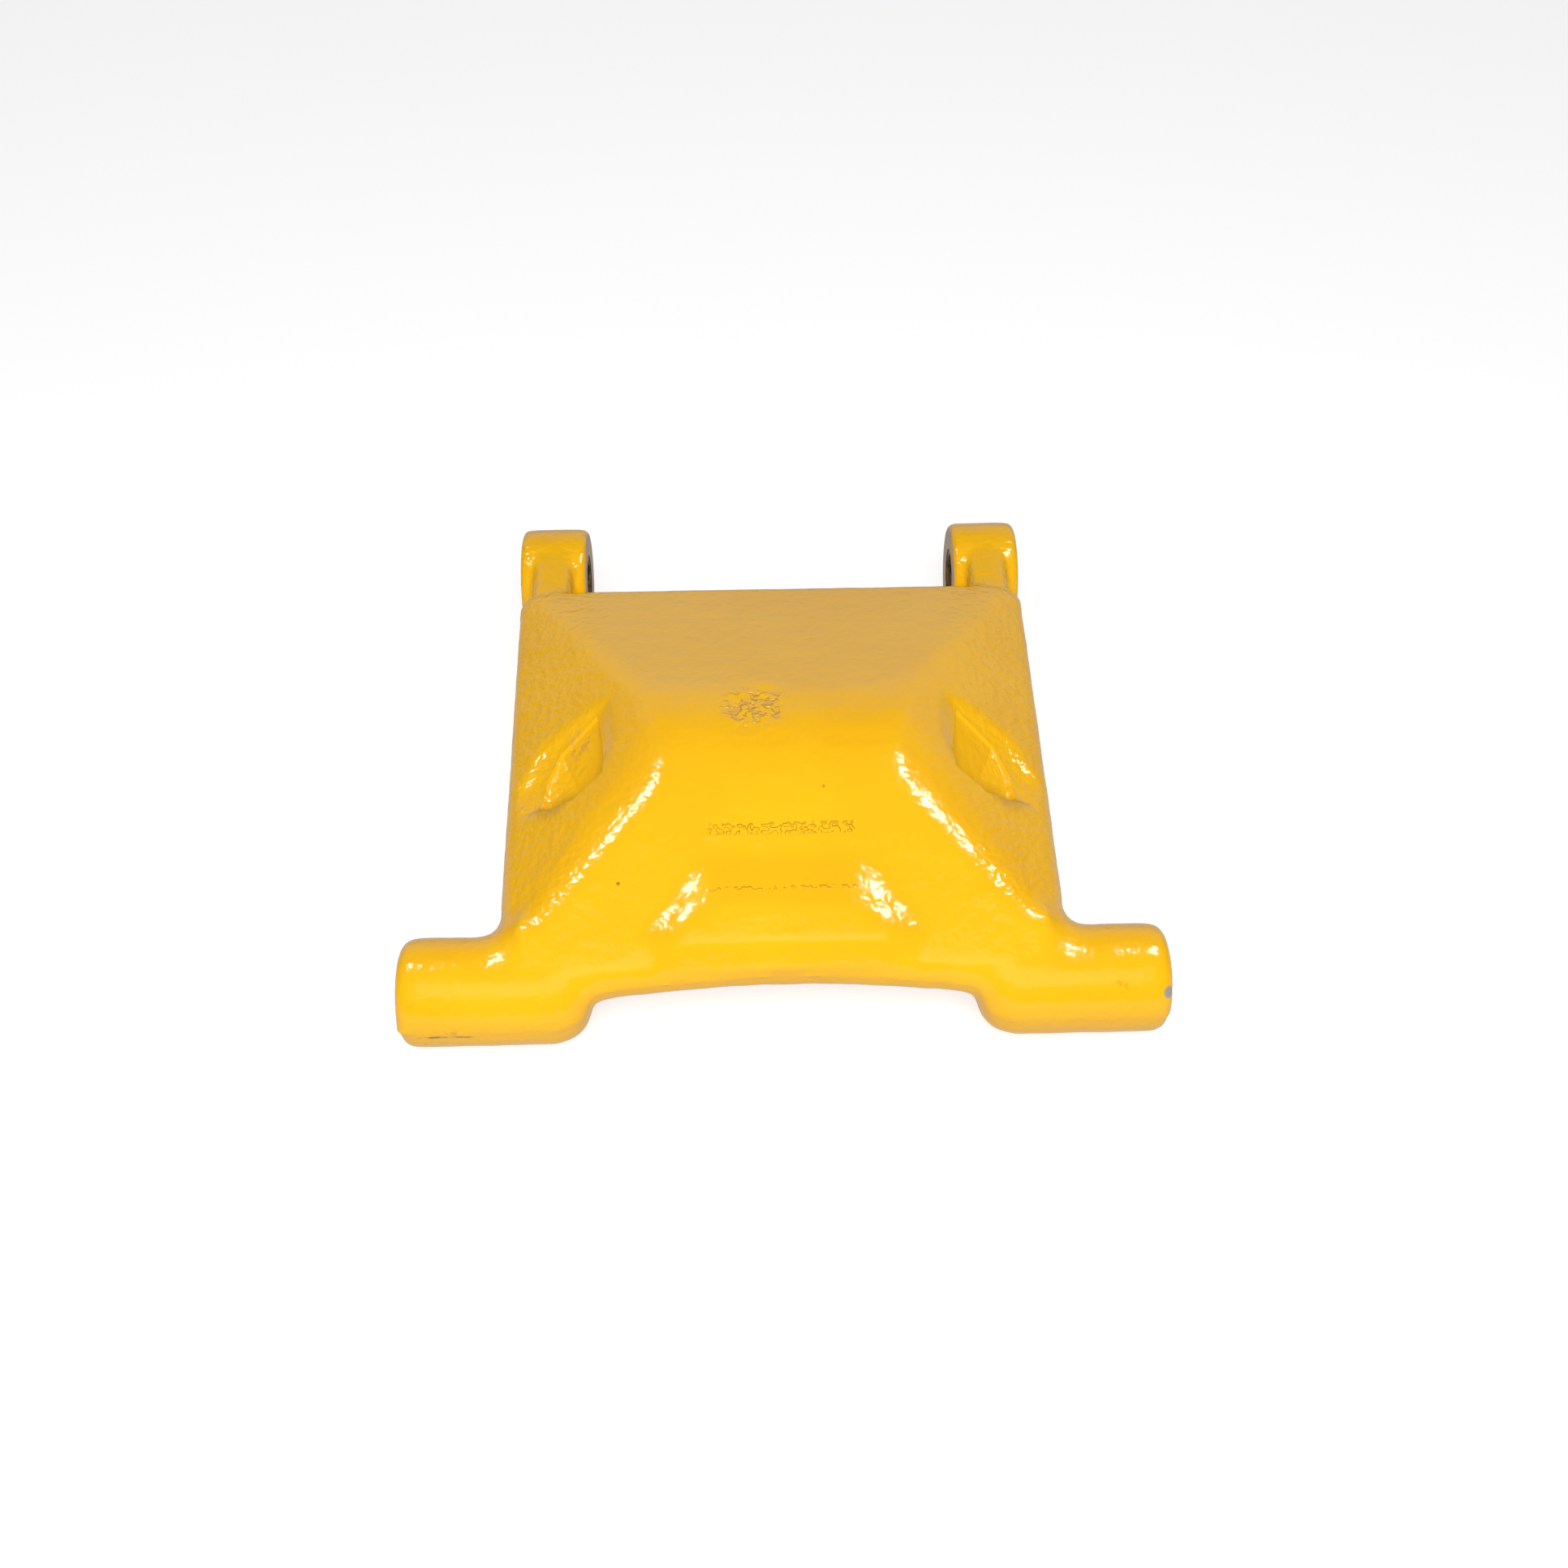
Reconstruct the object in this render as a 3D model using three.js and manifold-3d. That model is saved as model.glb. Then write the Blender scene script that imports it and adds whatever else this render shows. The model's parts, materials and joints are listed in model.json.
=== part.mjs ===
// Lifting-linkage crossbeam: one hollow casting that carries four pin bosses, with its bushes,
// dust seals and grease nipples. Millimetres, +Z up, +X along the pins, ears towards +Y.
// The crown of the beam faces up and the origin lies under its middle, on the ground plane.
import * as THREE from "three";
import { ConvexGeometry } from "three/addons/geometries/ConvexGeometry.js";
import { mergeVertices } from "three/addons/utils/BufferGeometryUtils.js";
import Module from "manifold-3d";

const wasm = await Module();
wasm.setup();

// ---- driving dimensions ----
const BOSS_SPAN = 350; // over the outer ends of the two front bosses
const BOSS_R = 25;
const BOSS_INNER_X = 88;
const BOSS_OUTER_ROUND = 4;
const BOSS_INNER_ROUND = 14;
const AXIS_SPACING = 312; // front pin axis to ear pin axis
const EAR_R = 31;
const EAR_INNER_X = 105.5;
const EAR_OUTER_X = 142.5;
const EAR_EDGE = 2; // broken edge of the ear bosses
const ARM_INNER_X = 113;
const ARM_OUTER_X = 135;
const ARM_R = 29;
const ARM_ROOT_TOP_Z = 58;
const ARM_ROOT_LAP = 26; // how far the arm runs into the body
const FRONT_SLOPE = THREE.MathUtils.degToRad(30);
const BACK_SLOPE = THREE.MathUtils.degToRad(14.8);
const CREST_RUN = 90.5; // front pin axis to the sharp crest, before it is rounded
const CREST_BEND_R = 70;
const BODY_RUN = 264; // front pin axis to the rear edge of the body
const BODY_FRONT_X = 130.5; // half width where the side walls leave the front bosses
const BODY_REAR_X = 134;
const BODY_FLOOR_Z = 14;
const WALL = 13;
const CORNER_R = 8; // cast outer corners
const CORE_CORNER_R = 5; // corners of the hollow underneath
const LIP_R = 14; // round lower edge of the front panel
const LIP_ARCH = 5.6; // how far up the panel that edge arches between the bosses
const LIP_STATIONS = [0, 30, 58, 82]; // half widths at which the arch is set out
const FRONT_WALL_RUN = 18; // front pin axis to the back of the front wall
const RIB_T = 10;
const RIB_FLOOR_Z = 24;
const CROSS_RIB_RUN = 178;
const POCKET_DEPTH = 11;
const GUSSET_FLOOR_Z = 40;
const GUSSET_OUTLINE = [[70, 68], [70, 150], [140, 110], [140, 66]]; // [x, run] behind a pocket
const POCKET_RIM = [[83, 138], [117.5, 81], [84.5, 80]]; // [x, run] of its three corners
const POCKET_MOUTH = 1.12; // rim above the side face, against its outline
const POCKET_BED = 0.62; // floor against its outline
const PAD_HEIGHT = 6;
const PAD_FOOT = [[41, 35], [64, 6], [58, -4]]; // [x, run] on the panel
const PAD_TOP = [[36, 26], [50, 8], [46, 4]];

const FRONT_BUSH = { bore: 12.5, outer: 14, length: 26 };
const EAR_BUSH = { bore: 14, outer: 16, length: 35.4 };
const BLIND_WALL = 9; // metal left at the closed inner end of each front boss
const BUSH_LEAD = 7.3; // outer end of a front boss to its first bush, with the seal in front
const BUSH_SPACING = 33.3; // between the two bushes of a boss, with the grease space between
const SEAL = { outer: 17.5, width: 6 };
const FIT_GAP = 0.3; // clearance drawn between pieces that are pressed together

const NIPPLE = { thread: 3, shank: 5.5, hexR: 4.04, hexH: 3.2, neck: 2.1, headR: 3.25, headH: 7 };
const NIPPLE_BORE = { inlet: 0.9, chamber: 1.7, outlet: 0.8, ball: 1.25 };
const GREASE_WAY_R = 1.6;
const SPOT_R = 6;
const SPRING = { wire: 0.2, radius: 1.2, turns: 4, stepsPerTurn: 10 };

const ROUND = 36; // sides of the bosses and bores
const SMALL_ROUND = 12;

// ---- positions that follow from them ----
const BOSS_Y = -(AXIS_SPACING + EAR_R - BOSS_R) / 2;
const EAR_Y = BOSS_Y + AXIS_SPACING;
const BODY_REAR_Y = BOSS_Y + BODY_RUN;
const BOSS_OUTER_X = BOSS_SPAN / 2;
const BLIND_X = BOSS_INNER_X + BLIND_WALL;
const SIDES = { left: -1, right: 1 };

// ---- finishes ----
const paint = () => finish(0xf2b61c, 0.3, 0.0);
const steelBacked = () => finish(0x6e5a3a, 0.45, 0.6);
const sealRubber = () => finish(0x1b1b1c, 0.75, 0.0);
const zincPlate = () => finish(0xb9bcc0, 0.35, 0.9);
const bearingSteel = () => finish(0xd5d7da, 0.15, 1.0);
const springSteel = () => finish(0x8f9296, 0.3, 1.0);

function finish(color, roughness, metalness) {
  return new THREE.MeshStandardMaterial({ color, roughness, metalness });
}

// ---- solids ----
function solid(geometry) {
  const bare = geometry.clone();
  bare.deleteAttribute("normal");
  bare.deleteAttribute("uv");
  const merged = mergeVertices(bare, 1e-3);
  const vertProperties = new Float32Array(merged.attributes.position.array);
  const triVerts = new Uint32Array(merged.index.array);
  return new wasm.Manifold(new wasm.Mesh({ numProp: 3, vertProperties, triVerts }));
}

function toMesh(name, shape, material) {
  const { vertProperties, triVerts } = shape.getMesh();
  const geometry = new THREE.BufferGeometry();
  geometry.setAttribute("position", new THREE.BufferAttribute(vertProperties, 3));
  geometry.setIndex(new THREE.BufferAttribute(triVerts, 1));
  geometry.computeVertexNormals();
  return named(name, geometry, material);
}

function named(name, geometry, material) {
  const mesh = new THREE.Mesh(geometry, material);
  mesh.name = name;
  return mesh;
}

function unite(shapes) {
  return shapes.reduce((whole, shape) => whole.add(shape));
}

// Turns a profile of [position along X, radius] pairs about an axis along X through (y, z).
function turned(profile, y, z, sides = ROUND) {
  const points = profile.map(([x, radius]) => new THREE.Vector2(radius, x));
  const geometry = new THREE.LatheGeometry(points, sides);
  return geometry.rotateZ(-Math.PI / 2).translate(0, y, z);
}

function cylinderX(radius, fromX, toX, y, z, sides = ROUND) {
  const geometry = new THREE.CylinderGeometry(radius, radius, toX - fromX, sides);
  return solid(geometry.rotateZ(-Math.PI / 2).translate((fromX + toX) / 2, y, z));
}

function block(low, high) {
  const size = high.map((value, i) => value - low[i]);
  const middle = high.map((value, i) => (value + low[i]) / 2);
  return solid(new THREE.BoxGeometry(...size).translate(...middle));
}

// The convex solid round a set of points, which may be given for the +X half only.
function hull(points, bothHalves = false) {
  const all = points.map((p) => (p.isVector3 ? p : new THREE.Vector3(...p)));
  if (bothHalves) all.push(...all.map((p) => new THREE.Vector3(-p.x, p.y, p.z)));
  return solid(new ConvexGeometry(all));
}

function ball(centre, radius) {
  const corners = mergeVertices(new THREE.IcosahedronGeometry(radius, 1).deleteAttribute("uv"));
  const place = corners.attributes.position;
  return Array.from({ length: place.count }, (_, i) =>
    new THREE.Vector3().fromBufferAttribute(place, i).add(centre));
}

// ---- the faces of the crown, as planes that look outwards ----
const along = (run, x, z) => new THREE.Vector3(x, BOSS_Y + run, z);
const frontNormal = new THREE.Vector3(0, -Math.sin(FRONT_SLOPE), Math.cos(FRONT_SLOPE));
const backNormal = new THREE.Vector3(0, Math.sin(BACK_SLOPE), Math.cos(BACK_SLOPE));
const bossTangent = along(0, 0, BOSS_R).addScaledVector(frontNormal, BOSS_R);
const frontPlane = planeAt(frontNormal, bossTangent);
const crest = along(CREST_RUN, 0, bossTangent.z
  + (CREST_RUN + BOSS_Y - bossTangent.y) * Math.tan(FRONT_SLOPE));
const backPlane = planeAt(backNormal, crest);
const ridgeHead = along(76, 58, 97.7);
const ridgeFoot = along(-9, 124, 48.6);
const shoulder = along(BODY_RUN, BODY_REAR_X - 2, 59);
const sidePlane = new THREE.Plane().setFromCoplanarPoints(ridgeHead, ridgeFoot, shoulder);
const wallPlane = planeThrough(along(0, BODY_FRONT_X, 0), along(BODY_RUN, BODY_REAR_X, 0));
const rearPlane = planeAt(new THREE.Vector3(0, 1, 0), along(BODY_RUN, 0, 0));
const floorPlane = planeAt(new THREE.Vector3(0, 0, -1), along(0, 0, BODY_FLOOR_Z));

function planeAt(normal, point) {
  return new THREE.Plane().setFromNormalAndCoplanarPoint(normal.clone(), point);
}

function planeThrough(from, to) {
  const run = to.clone().sub(from);
  return planeAt(new THREE.Vector3(run.y, -run.x, 0).normalize(), from);
}

// The point where three faces meet once each is moved inwards by the same inset.
function meet(planes, inset) {
  const [a, b, c] = planes.map((plane) => plane.normal);
  const rows = new THREE.Matrix3().set(a.x, a.y, a.z, b.x, b.y, b.z, c.x, c.y, c.z);
  const offsets = planes.map((plane) => -plane.constant - inset);
  return new THREE.Vector3(...offsets).applyMatrix3(rows.invert());
}

// Corner points of the rounded crest, each on the side face moved inwards by the inset.
function crestCorners(inset) {
  const tangentRun = CREST_BEND_R * Math.tan((FRONT_SLOPE + BACK_SLOPE) / 2);
  const centre = crest.clone()
    .add(new THREE.Vector3(0, -Math.cos(FRONT_SLOPE), -Math.sin(FRONT_SLOPE))
      .multiplyScalar(tangentRun))
    .addScaledVector(frontNormal, -CREST_BEND_R);
  const steps = 5;
  return Array.from({ length: steps + 1 }, (_, i) => {
    const angle = -FRONT_SLOPE + ((FRONT_SLOPE + BACK_SLOPE) * i) / steps;
    const radial = new THREE.Vector3(0, Math.sin(angle), Math.cos(angle));
    const point = centre.clone().addScaledVector(radial, CREST_BEND_R - inset);
    return meet([planeAt(radial, point), planeAt(new THREE.Vector3(0, 1, 0), point),
      shifted(sidePlane, inset)], 0);
  });
}

function shifted(plane, inset) {
  return new THREE.Plane(plane.normal.clone(), plane.constant + inset);
}

// ---- the crossbeam casting ----
function crown() {
  const r = CORNER_R;
  const corners = [
    ...crestCorners(r),
    meet([backPlane, sidePlane, rearPlane], r),
    meet([sidePlane, wallPlane, rearPlane], r),
    meet([wallPlane, floorPlane, rearPlane], r),
    along(28, BODY_FRONT_X - r, BODY_FLOOR_Z + r),
  ];
  const outerX = BODY_FRONT_X - LIP_R;
  const points = [...corners.flatMap((corner) => ball(corner, r)), ...lipBall(0, outerX, LIP_ARCH)];
  return unite([hull(points, true), ...lipBars(outerX)]);
}

// A ball of the lip, whose centre lies under the front panel, the given way up its slope.
function lipBall(rise, x, extra = 0) {
  const up = new THREE.Vector3(0, Math.cos(FRONT_SLOPE), Math.sin(FRONT_SLOPE));
  const foot = along(0, x, 0);
  foot.z = (-frontPlane.constant - LIP_R - frontNormal.y * foot.y) / frontNormal.z;
  return ball(foot.addScaledVector(up, rise + extra), LIP_R);
}

// The round lip below the panel: highest in the middle, level where it meets the bosses.
function lipBars(outerX) {
  const last = LIP_STATIONS.at(-1);
  const stations = [...LIP_STATIONS, outerX];
  const rise = (x) => (x < last ? LIP_ARCH * (1 - (x / last) ** 2) : 0);
  return stations.slice(1).flatMap((x, i) => {
    const near = stations[i];
    const points = [near, x].flatMap((at) => [...lipBall(rise(at), at),
      ...lipBall(rise(at), at, LIP_R)]);
    const bar = hull(points);
    return [bar, bar.mirror([1, 0, 0])];
  });
}

// The open hollow under the crown, one wall thickness inside it.
function hollow() {
  const inset = WALL + CORE_CORNER_R;
  const lipBack = planeAt(new THREE.Vector3(0, -1, 0), along(FRONT_WALL_RUN - WALL, 0, 0));
  const bottom = planeAt(new THREE.Vector3(0, 0, -1), along(0, 0, -3 * inset));
  const corners = [
    ...crestCorners(inset),
    meet([frontPlane, sidePlane, lipBack], inset),
    meet([sidePlane, wallPlane, lipBack], inset),
    meet([backPlane, sidePlane, rearPlane], inset),
    meet([sidePlane, wallPlane, rearPlane], inset),
    meet([bottom, wallPlane, lipBack], inset),
    meet([bottom, wallPlane, rearPlane], inset),
  ];
  return hull(corners.flatMap((corner) => ball(corner, CORE_CORNER_R)), true);
}

// Ribs under the roof, and a gusset behind each side pocket, all trimmed to the crown's shape.
function ribs(outer) {
  const top = crest.z;
  const keel = block([-RIB_T / 2, BOSS_Y, RIB_FLOOR_Z], [RIB_T / 2, BODY_REAR_Y - WALL, top]);
  const crossY = BOSS_Y + CROSS_RIB_RUN;
  const cross = block([-EAR_OUTER_X, crossY - RIB_T / 2, RIB_FLOOR_Z],
    [EAR_OUTER_X, crossY + RIB_T / 2, top]);
  const gussets = Object.values(SIDES).map((side) => hull(
    GUSSET_OUTLINE.flatMap(([x, run]) =>
      [along(run, side * x, GUSSET_FLOOR_Z), along(run, side * x, top)])));
  return unite([keel, cross, ...gussets]).intersect(outer);
}

// A blind three-cornered recess in each side face, with a sloping wall all round.
function pocket(side) {
  const rim = POCKET_RIM;
  const middle = rim.reduce((sum, [x, run]) => [sum[0] + x / 3, sum[1] + run / 3], [0, 0]);
  const onSide = (x, run, lift) => {
    const ray = new THREE.Line3(along(run, x, -500), along(run, x, 500));
    const point = sidePlane.intersectLine(ray, new THREE.Vector3());
    point.addScaledVector(sidePlane.normal, lift);
    return new THREE.Vector3(side * point.x, point.y, point.z);
  };
  const shrink = (fraction) => rim.map(([x, run]) =>
    [middle[0] + (x - middle[0]) * fraction, middle[1] + (run - middle[1]) * fraction]);
  const mouth = shrink(POCKET_MOUTH).map(([x, run]) => onSide(x, run, 3));
  const floor = shrink(POCKET_BED).map(([x, run]) => onSide(x, run, -POCKET_DEPTH));
  return hull([...mouth, ...floor]);
}

// The raised pad low on the front panel.
function pad() {
  const onFront = (x, run, lift) => {
    const z = bossTangent.z + (BOSS_Y + run - bossTangent.y) * Math.tan(FRONT_SLOPE);
    return along(run, x, z).addScaledVector(frontNormal, lift);
  };
  return hull([
    ...PAD_FOOT.map(([x, run]) => onFront(x, run, -2)),
    ...PAD_TOP.map(([x, run]) => onFront(x, run, PAD_HEIGHT)),
  ], true);
}

function roundedEnd(x, radius, round, outwards, steps = 4) {
  return Array.from({ length: steps + 1 }, (_, i) => {
    const angle = (Math.PI / 2) * (i / steps);
    return [x - outwards * round * (1 - Math.sin(angle)), radius - round * (1 - Math.cos(angle))];
  });
}

function frontBoss(side) {
  const inner = roundedEnd(BOSS_INNER_X, BOSS_R, BOSS_INNER_ROUND, -1).reverse();
  const outer = roundedEnd(BOSS_OUTER_X, BOSS_R, BOSS_OUTER_ROUND, 1);
  const profile = [[BOSS_INNER_X, 0], ...inner, ...outer, [BOSS_OUTER_X, 0]];
  const shape = solid(turned(profile, BOSS_Y, BOSS_R));
  return side > 0 ? shape : shape.mirror([1, 0, 0]);
}

// An ear: the arm that leaves the rear of the body, and the boss at its end.
function ear(side) {
  const rim = Array.from({ length: ROUND }, (_, i) => (2 * Math.PI * i) / ROUND);
  const disc = rim.flatMap((angle) => [ARM_INNER_X, ARM_OUTER_X].map((x) =>
    [x, EAR_Y + ARM_R * Math.sin(angle), EAR_R + ARM_R * Math.cos(angle)]));
  const rootRun = BODY_RUN - ARM_ROOT_LAP;
  const root = [ARM_INNER_X, BODY_REAR_X - 2].flatMap((x) =>
    [along(rootRun, x, BODY_FLOOR_Z), along(rootRun, x, ARM_ROOT_TOP_Z)]);
  const arm = hull([...disc, ...root]);
  const profile = [[EAR_INNER_X, 0], [EAR_INNER_X, EAR_R - EAR_EDGE],
    [EAR_INNER_X + EAR_EDGE, EAR_R], [EAR_OUTER_X - EAR_EDGE, EAR_R],
    [EAR_OUTER_X, EAR_R - EAR_EDGE], [EAR_OUTER_X, 0]];
  const shape = arm.add(solid(turned(profile, EAR_Y, EAR_R)));
  return side > 0 ? shape : shape.mirror([1, 0, 0]);
}

// ---- grease nipples: where each one sits, and which way it points ----
const NIPPLES = Object.entries(SIDES).flatMap(([hand, side]) => [
  { name: `ear_${hand}`, x: side * 124.5, y: EAR_Y, z: EAR_R, r: EAR_R, tilt: 133 },
  { name: `boss_${hand}`, x: side * 139, y: BOSS_Y, z: BOSS_R, r: BOSS_R, tilt: 112 },
]);
const SPOT_DEPTH = 1.2;

// Carries geometry from the nipple's own frame, +Z out of the boss, to its place on the part.
function atNipple(nipple, geometry) {
  const tilt = THREE.MathUtils.degToRad(nipple.tilt);
  return geometry.rotateX(-tilt).translate(nipple.x, nipple.y, nipple.z);
}

function upright(radius, fromZ, toZ, sides = SMALL_ROUND) {
  const geometry = new THREE.CylinderGeometry(radius, radius, toZ - fromZ, sides);
  return geometry.rotateX(Math.PI / 2).translate(0, 0, (fromZ + toZ) / 2);
}

function nippleSeat(nipple) {
  const seatZ = nipple.r - SPOT_DEPTH;
  const threadFloor = seatZ - NIPPLE.shank - 1.5;
  return unite([
    solid(atNipple(nipple, upright(SPOT_R, seatZ, nipple.r + 4, 24))),
    solid(atNipple(nipple, upright(NIPPLE.thread + FIT_GAP, threadFloor, nipple.r))),
    solid(atNipple(nipple, upright(GREASE_WAY_R, nipple.r / 3, nipple.r))),
  ]);
}

function casting() {
  const outer = crown();
  const hands = Object.values(SIDES);
  const shell = outer.subtract(hollow()).add(ribs(outer)).add(pad());
  const whole = unite([shell, ...hands.map(frontBoss), ...hands.map(ear)]);
  const cuts = [...hands.flatMap(cutsOn), ...NIPPLES.map(nippleSeat)];
  return toMesh("link_casting", whole.subtract(unite(cuts)), paint());
}

// Bores, seal seats, the milled inner face of the ear and the pocket, for one side.
function cutsOn(side) {
  const bored = (radius, near, far, y, z) => {
    const [fromX, toX] = side > 0 ? [near, far] : [-far, -near];
    return cylinderX(radius, fromX, toX, y, z);
  };
  const past = 1;
  const sealFloor = BOSS_OUTER_X - SEAL.width - FIT_GAP;
  return [
    bored(FRONT_BUSH.outer + FIT_GAP, BLIND_X, BOSS_OUTER_X + past, BOSS_Y, BOSS_R),
    bored(SEAL.outer + FIT_GAP, sealFloor, BOSS_OUTER_X + past, BOSS_Y, BOSS_R),
    bored(EAR_BUSH.outer + FIT_GAP, EAR_INNER_X - past, EAR_OUTER_X + past, EAR_Y, EAR_R),
    pocket(side),
  ];
}

// ---- bushes and seals ----
function ring(inner, outer, fromX, toX, y, z) {
  const profile = [[fromX, inner], [fromX, outer], [toX, outer], [toX, inner], [fromX, inner]];
  return solid(turned(profile, y, z));
}

function frontBush(name, side, order) {
  const farX = BOSS_OUTER_X - BUSH_LEAD - order * BUSH_SPACING;
  const nearX = farX - FRONT_BUSH.length;
  const [fromX, toX] = side > 0 ? [nearX, farX] : [-farX, -nearX];
  const shape = ring(FRONT_BUSH.bore, FRONT_BUSH.outer, fromX, toX, BOSS_Y, BOSS_R);
  return toMesh(name, shape, steelBacked());
}

function earBush(name, side, nipple) {
  const middle = (side * (EAR_INNER_X + EAR_OUTER_X)) / 2;
  const half = EAR_BUSH.length / 2;
  const shell = ring(EAR_BUSH.bore, EAR_BUSH.outer, middle - half, middle + half, EAR_Y, EAR_R);
  const way = upright(GREASE_WAY_R, EAR_BUSH.bore - 2, EAR_BUSH.outer + 2);
  return toMesh(name, shell.subtract(solid(atNipple(nipple, way))), steelBacked());
}

// A pressed-in ring with a thin lip that leans outwards and wipes the pin.
function dustSeal(name, side) {
  const foot = BOSS_OUTER_X - SEAL.width;
  const profile = [
    [0, 15.4], [0, SEAL.outer], [5.6, SEAL.outer], [5.6, 15.6], [3.6, 14.4],
    [5.4, 12.7], [5.0, 12.25], [2.2, 13.6], [0, 15.4],
  ].map(([x, radius]) => [foot + x, radius]);
  const shape = solid(turned(profile, BOSS_Y, BOSS_R));
  return toMesh(name, side > 0 ? shape : shape.mirror([1, 0, 0]), sealRubber());
}

// ---- grease nipples, drawn upright on their seat: body, check ball and spring ----
function nippleBody(name) {
  const { thread, shank, hexR, hexH, neck, headR, headH } = NIPPLE;
  const outline = [
    [0, -shank], [thread - 0.5, -shank], [thread, 0.5 - shank], [thread, FIT_GAP],
    [neck, FIT_GAP], [neck, headH - 1.6], [headR - 0.3, headH - 0.5], [headR, headH],
    [headR - 0.5, headH + 1], [1.7, headH + 2.9], [1.2, headH + 3.2], [0, headH + 3.2],
  ].map(([radius, z]) => new THREE.Vector2(radius, z));
  const turnedBody = new THREE.LatheGeometry(outline, 18).rotateX(Math.PI / 2);
  const hexagon = upright(hexR, FIT_GAP, FIT_GAP + hexH, 6);
  const { inlet, chamber, outlet } = NIPPLE_BORE;
  const way = [
    [0, -shank - 1], [outlet, -shank - 1], [outlet, 1.2 - shank], [chamber, 1.2 - shank],
    [chamber, headH + 0.5], [inlet, headH + 1.3], [inlet, headH + 4], [0, headH + 4],
  ].map(([radius, z]) => new THREE.Vector2(radius, z));
  const bored = new THREE.LatheGeometry(way, SMALL_ROUND).rotateX(Math.PI / 2);
  const shape = solid(turnedBody).add(solid(hexagon)).subtract(solid(bored));
  return toMesh(name, shape, zincPlate());
}

const BALL_Z = NIPPLE.headH + 0.25;

function checkBall(name) {
  const mesh = named(name, new THREE.SphereGeometry(NIPPLE_BORE.ball, 10, 8), bearingSteel());
  mesh.position.z = BALL_Z;
  return mesh;
}

class Helix extends THREE.Curve {
  constructor(radius, fromZ, toZ, turns) {
    super();
    Object.assign(this, { radius, fromZ, toZ, turns });
  }

  getPoint(t, target = new THREE.Vector3()) {
    const angle = 2 * Math.PI * this.turns * t;
    const z = this.fromZ + (this.toZ - this.fromZ) * t;
    return target.set(this.radius * Math.cos(angle), this.radius * Math.sin(angle), z);
  }
}

function checkSpring(name) {
  const { wire, radius, turns, stepsPerTurn } = SPRING;
  const fromZ = 1.8 - NIPPLE.shank;
  const coil = new Helix(radius, fromZ, BALL_Z - 1, turns);
  const section = new THREE.Shape(Array.from({ length: 5 }, (_, i) => {
    const angle = (2 * Math.PI * i) / 5;
    return new THREE.Vector2(wire * Math.cos(angle), wire * Math.sin(angle));
  }));
  const steps = turns * stepsPerTurn;
  const geometry = new THREE.ExtrudeGeometry(section, { steps, extrudePath: coil });
  return named(name, geometry, springSteel());
}

function greaseNipple(nipple) {
  const tilt = THREE.MathUtils.degToRad(nipple.tilt);
  const seat = nipple.r - SPOT_DEPTH;
  const group = new THREE.Group();
  group.rotation.x = -tilt;
  group.position.set(nipple.x, nipple.y + seat * Math.sin(tilt), nipple.z + seat * Math.cos(tilt));
  group.add(
    nippleBody(`nipple_body_${nipple.name}`),
    checkBall(`check_ball_${nipple.name}`),
    checkSpring(`check_spring_${nipple.name}`),
  );
  return group;
}

// ---- the assembly ----
const group = new THREE.Group();
group.add(casting());
for (const [hand, side] of Object.entries(SIDES)) {
  const nipple = NIPPLES.find(({ name }) => name === `ear_${hand}`);
  group.add(earBush(`ear_bush_${hand}`, side, nipple));
  group.add(frontBush(`boss_bush_outer_${hand}`, side, 0));
  group.add(frontBush(`boss_bush_inner_${hand}`, side, 1));
  group.add(dustSeal(`dust_seal_${hand}`, side));
}
for (const nipple of NIPPLES) group.add(greaseNipple(nipple));

export default group;
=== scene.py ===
# %% [markdown]
# # A cast linkage crossbeam, as its maker would see it
# The crossbeam is one hollow iron casting. Two stub bosses at the front and two ears at the rear
# carry pins, in pressed bushes. Grease nipples feed them and dust seals close the front bosses.
# The CAD model gives every size and place. This lesson builds the same pieces again with the
# rounded corners, the gloss paint and the small faults that a plain solid leaves out.

import json
import math

import bmesh
import bpy
from mathutils import Matrix, Vector, noise

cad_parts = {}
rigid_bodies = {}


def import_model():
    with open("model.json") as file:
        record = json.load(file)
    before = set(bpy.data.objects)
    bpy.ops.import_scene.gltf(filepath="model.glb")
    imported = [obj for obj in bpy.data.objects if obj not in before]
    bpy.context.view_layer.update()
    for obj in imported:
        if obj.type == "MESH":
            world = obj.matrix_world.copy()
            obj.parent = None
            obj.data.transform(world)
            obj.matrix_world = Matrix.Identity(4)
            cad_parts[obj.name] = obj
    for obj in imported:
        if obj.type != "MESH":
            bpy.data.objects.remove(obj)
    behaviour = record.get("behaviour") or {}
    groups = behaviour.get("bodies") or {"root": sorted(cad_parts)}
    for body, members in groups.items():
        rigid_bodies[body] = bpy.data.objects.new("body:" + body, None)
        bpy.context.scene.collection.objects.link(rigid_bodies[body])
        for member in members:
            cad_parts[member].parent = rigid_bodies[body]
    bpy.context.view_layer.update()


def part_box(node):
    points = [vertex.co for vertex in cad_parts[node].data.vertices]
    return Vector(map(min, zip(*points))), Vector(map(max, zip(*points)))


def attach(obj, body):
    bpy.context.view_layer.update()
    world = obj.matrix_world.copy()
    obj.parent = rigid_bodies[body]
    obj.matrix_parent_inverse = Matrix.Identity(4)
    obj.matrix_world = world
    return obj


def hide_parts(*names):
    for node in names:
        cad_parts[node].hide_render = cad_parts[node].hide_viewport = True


for spare in list(bpy.data.objects):
    bpy.data.objects.remove(spare)
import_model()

# %% [markdown]
# ## Where things are
# Shapes are worked out in millimetres, as on a drawing, and turned into metres when a piece is
# finished. The two pin axes come from the bushes of the CAD model. A place on the body is then
# given as it is measured on the real one: across from the middle, along from the front pin, up.

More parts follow.
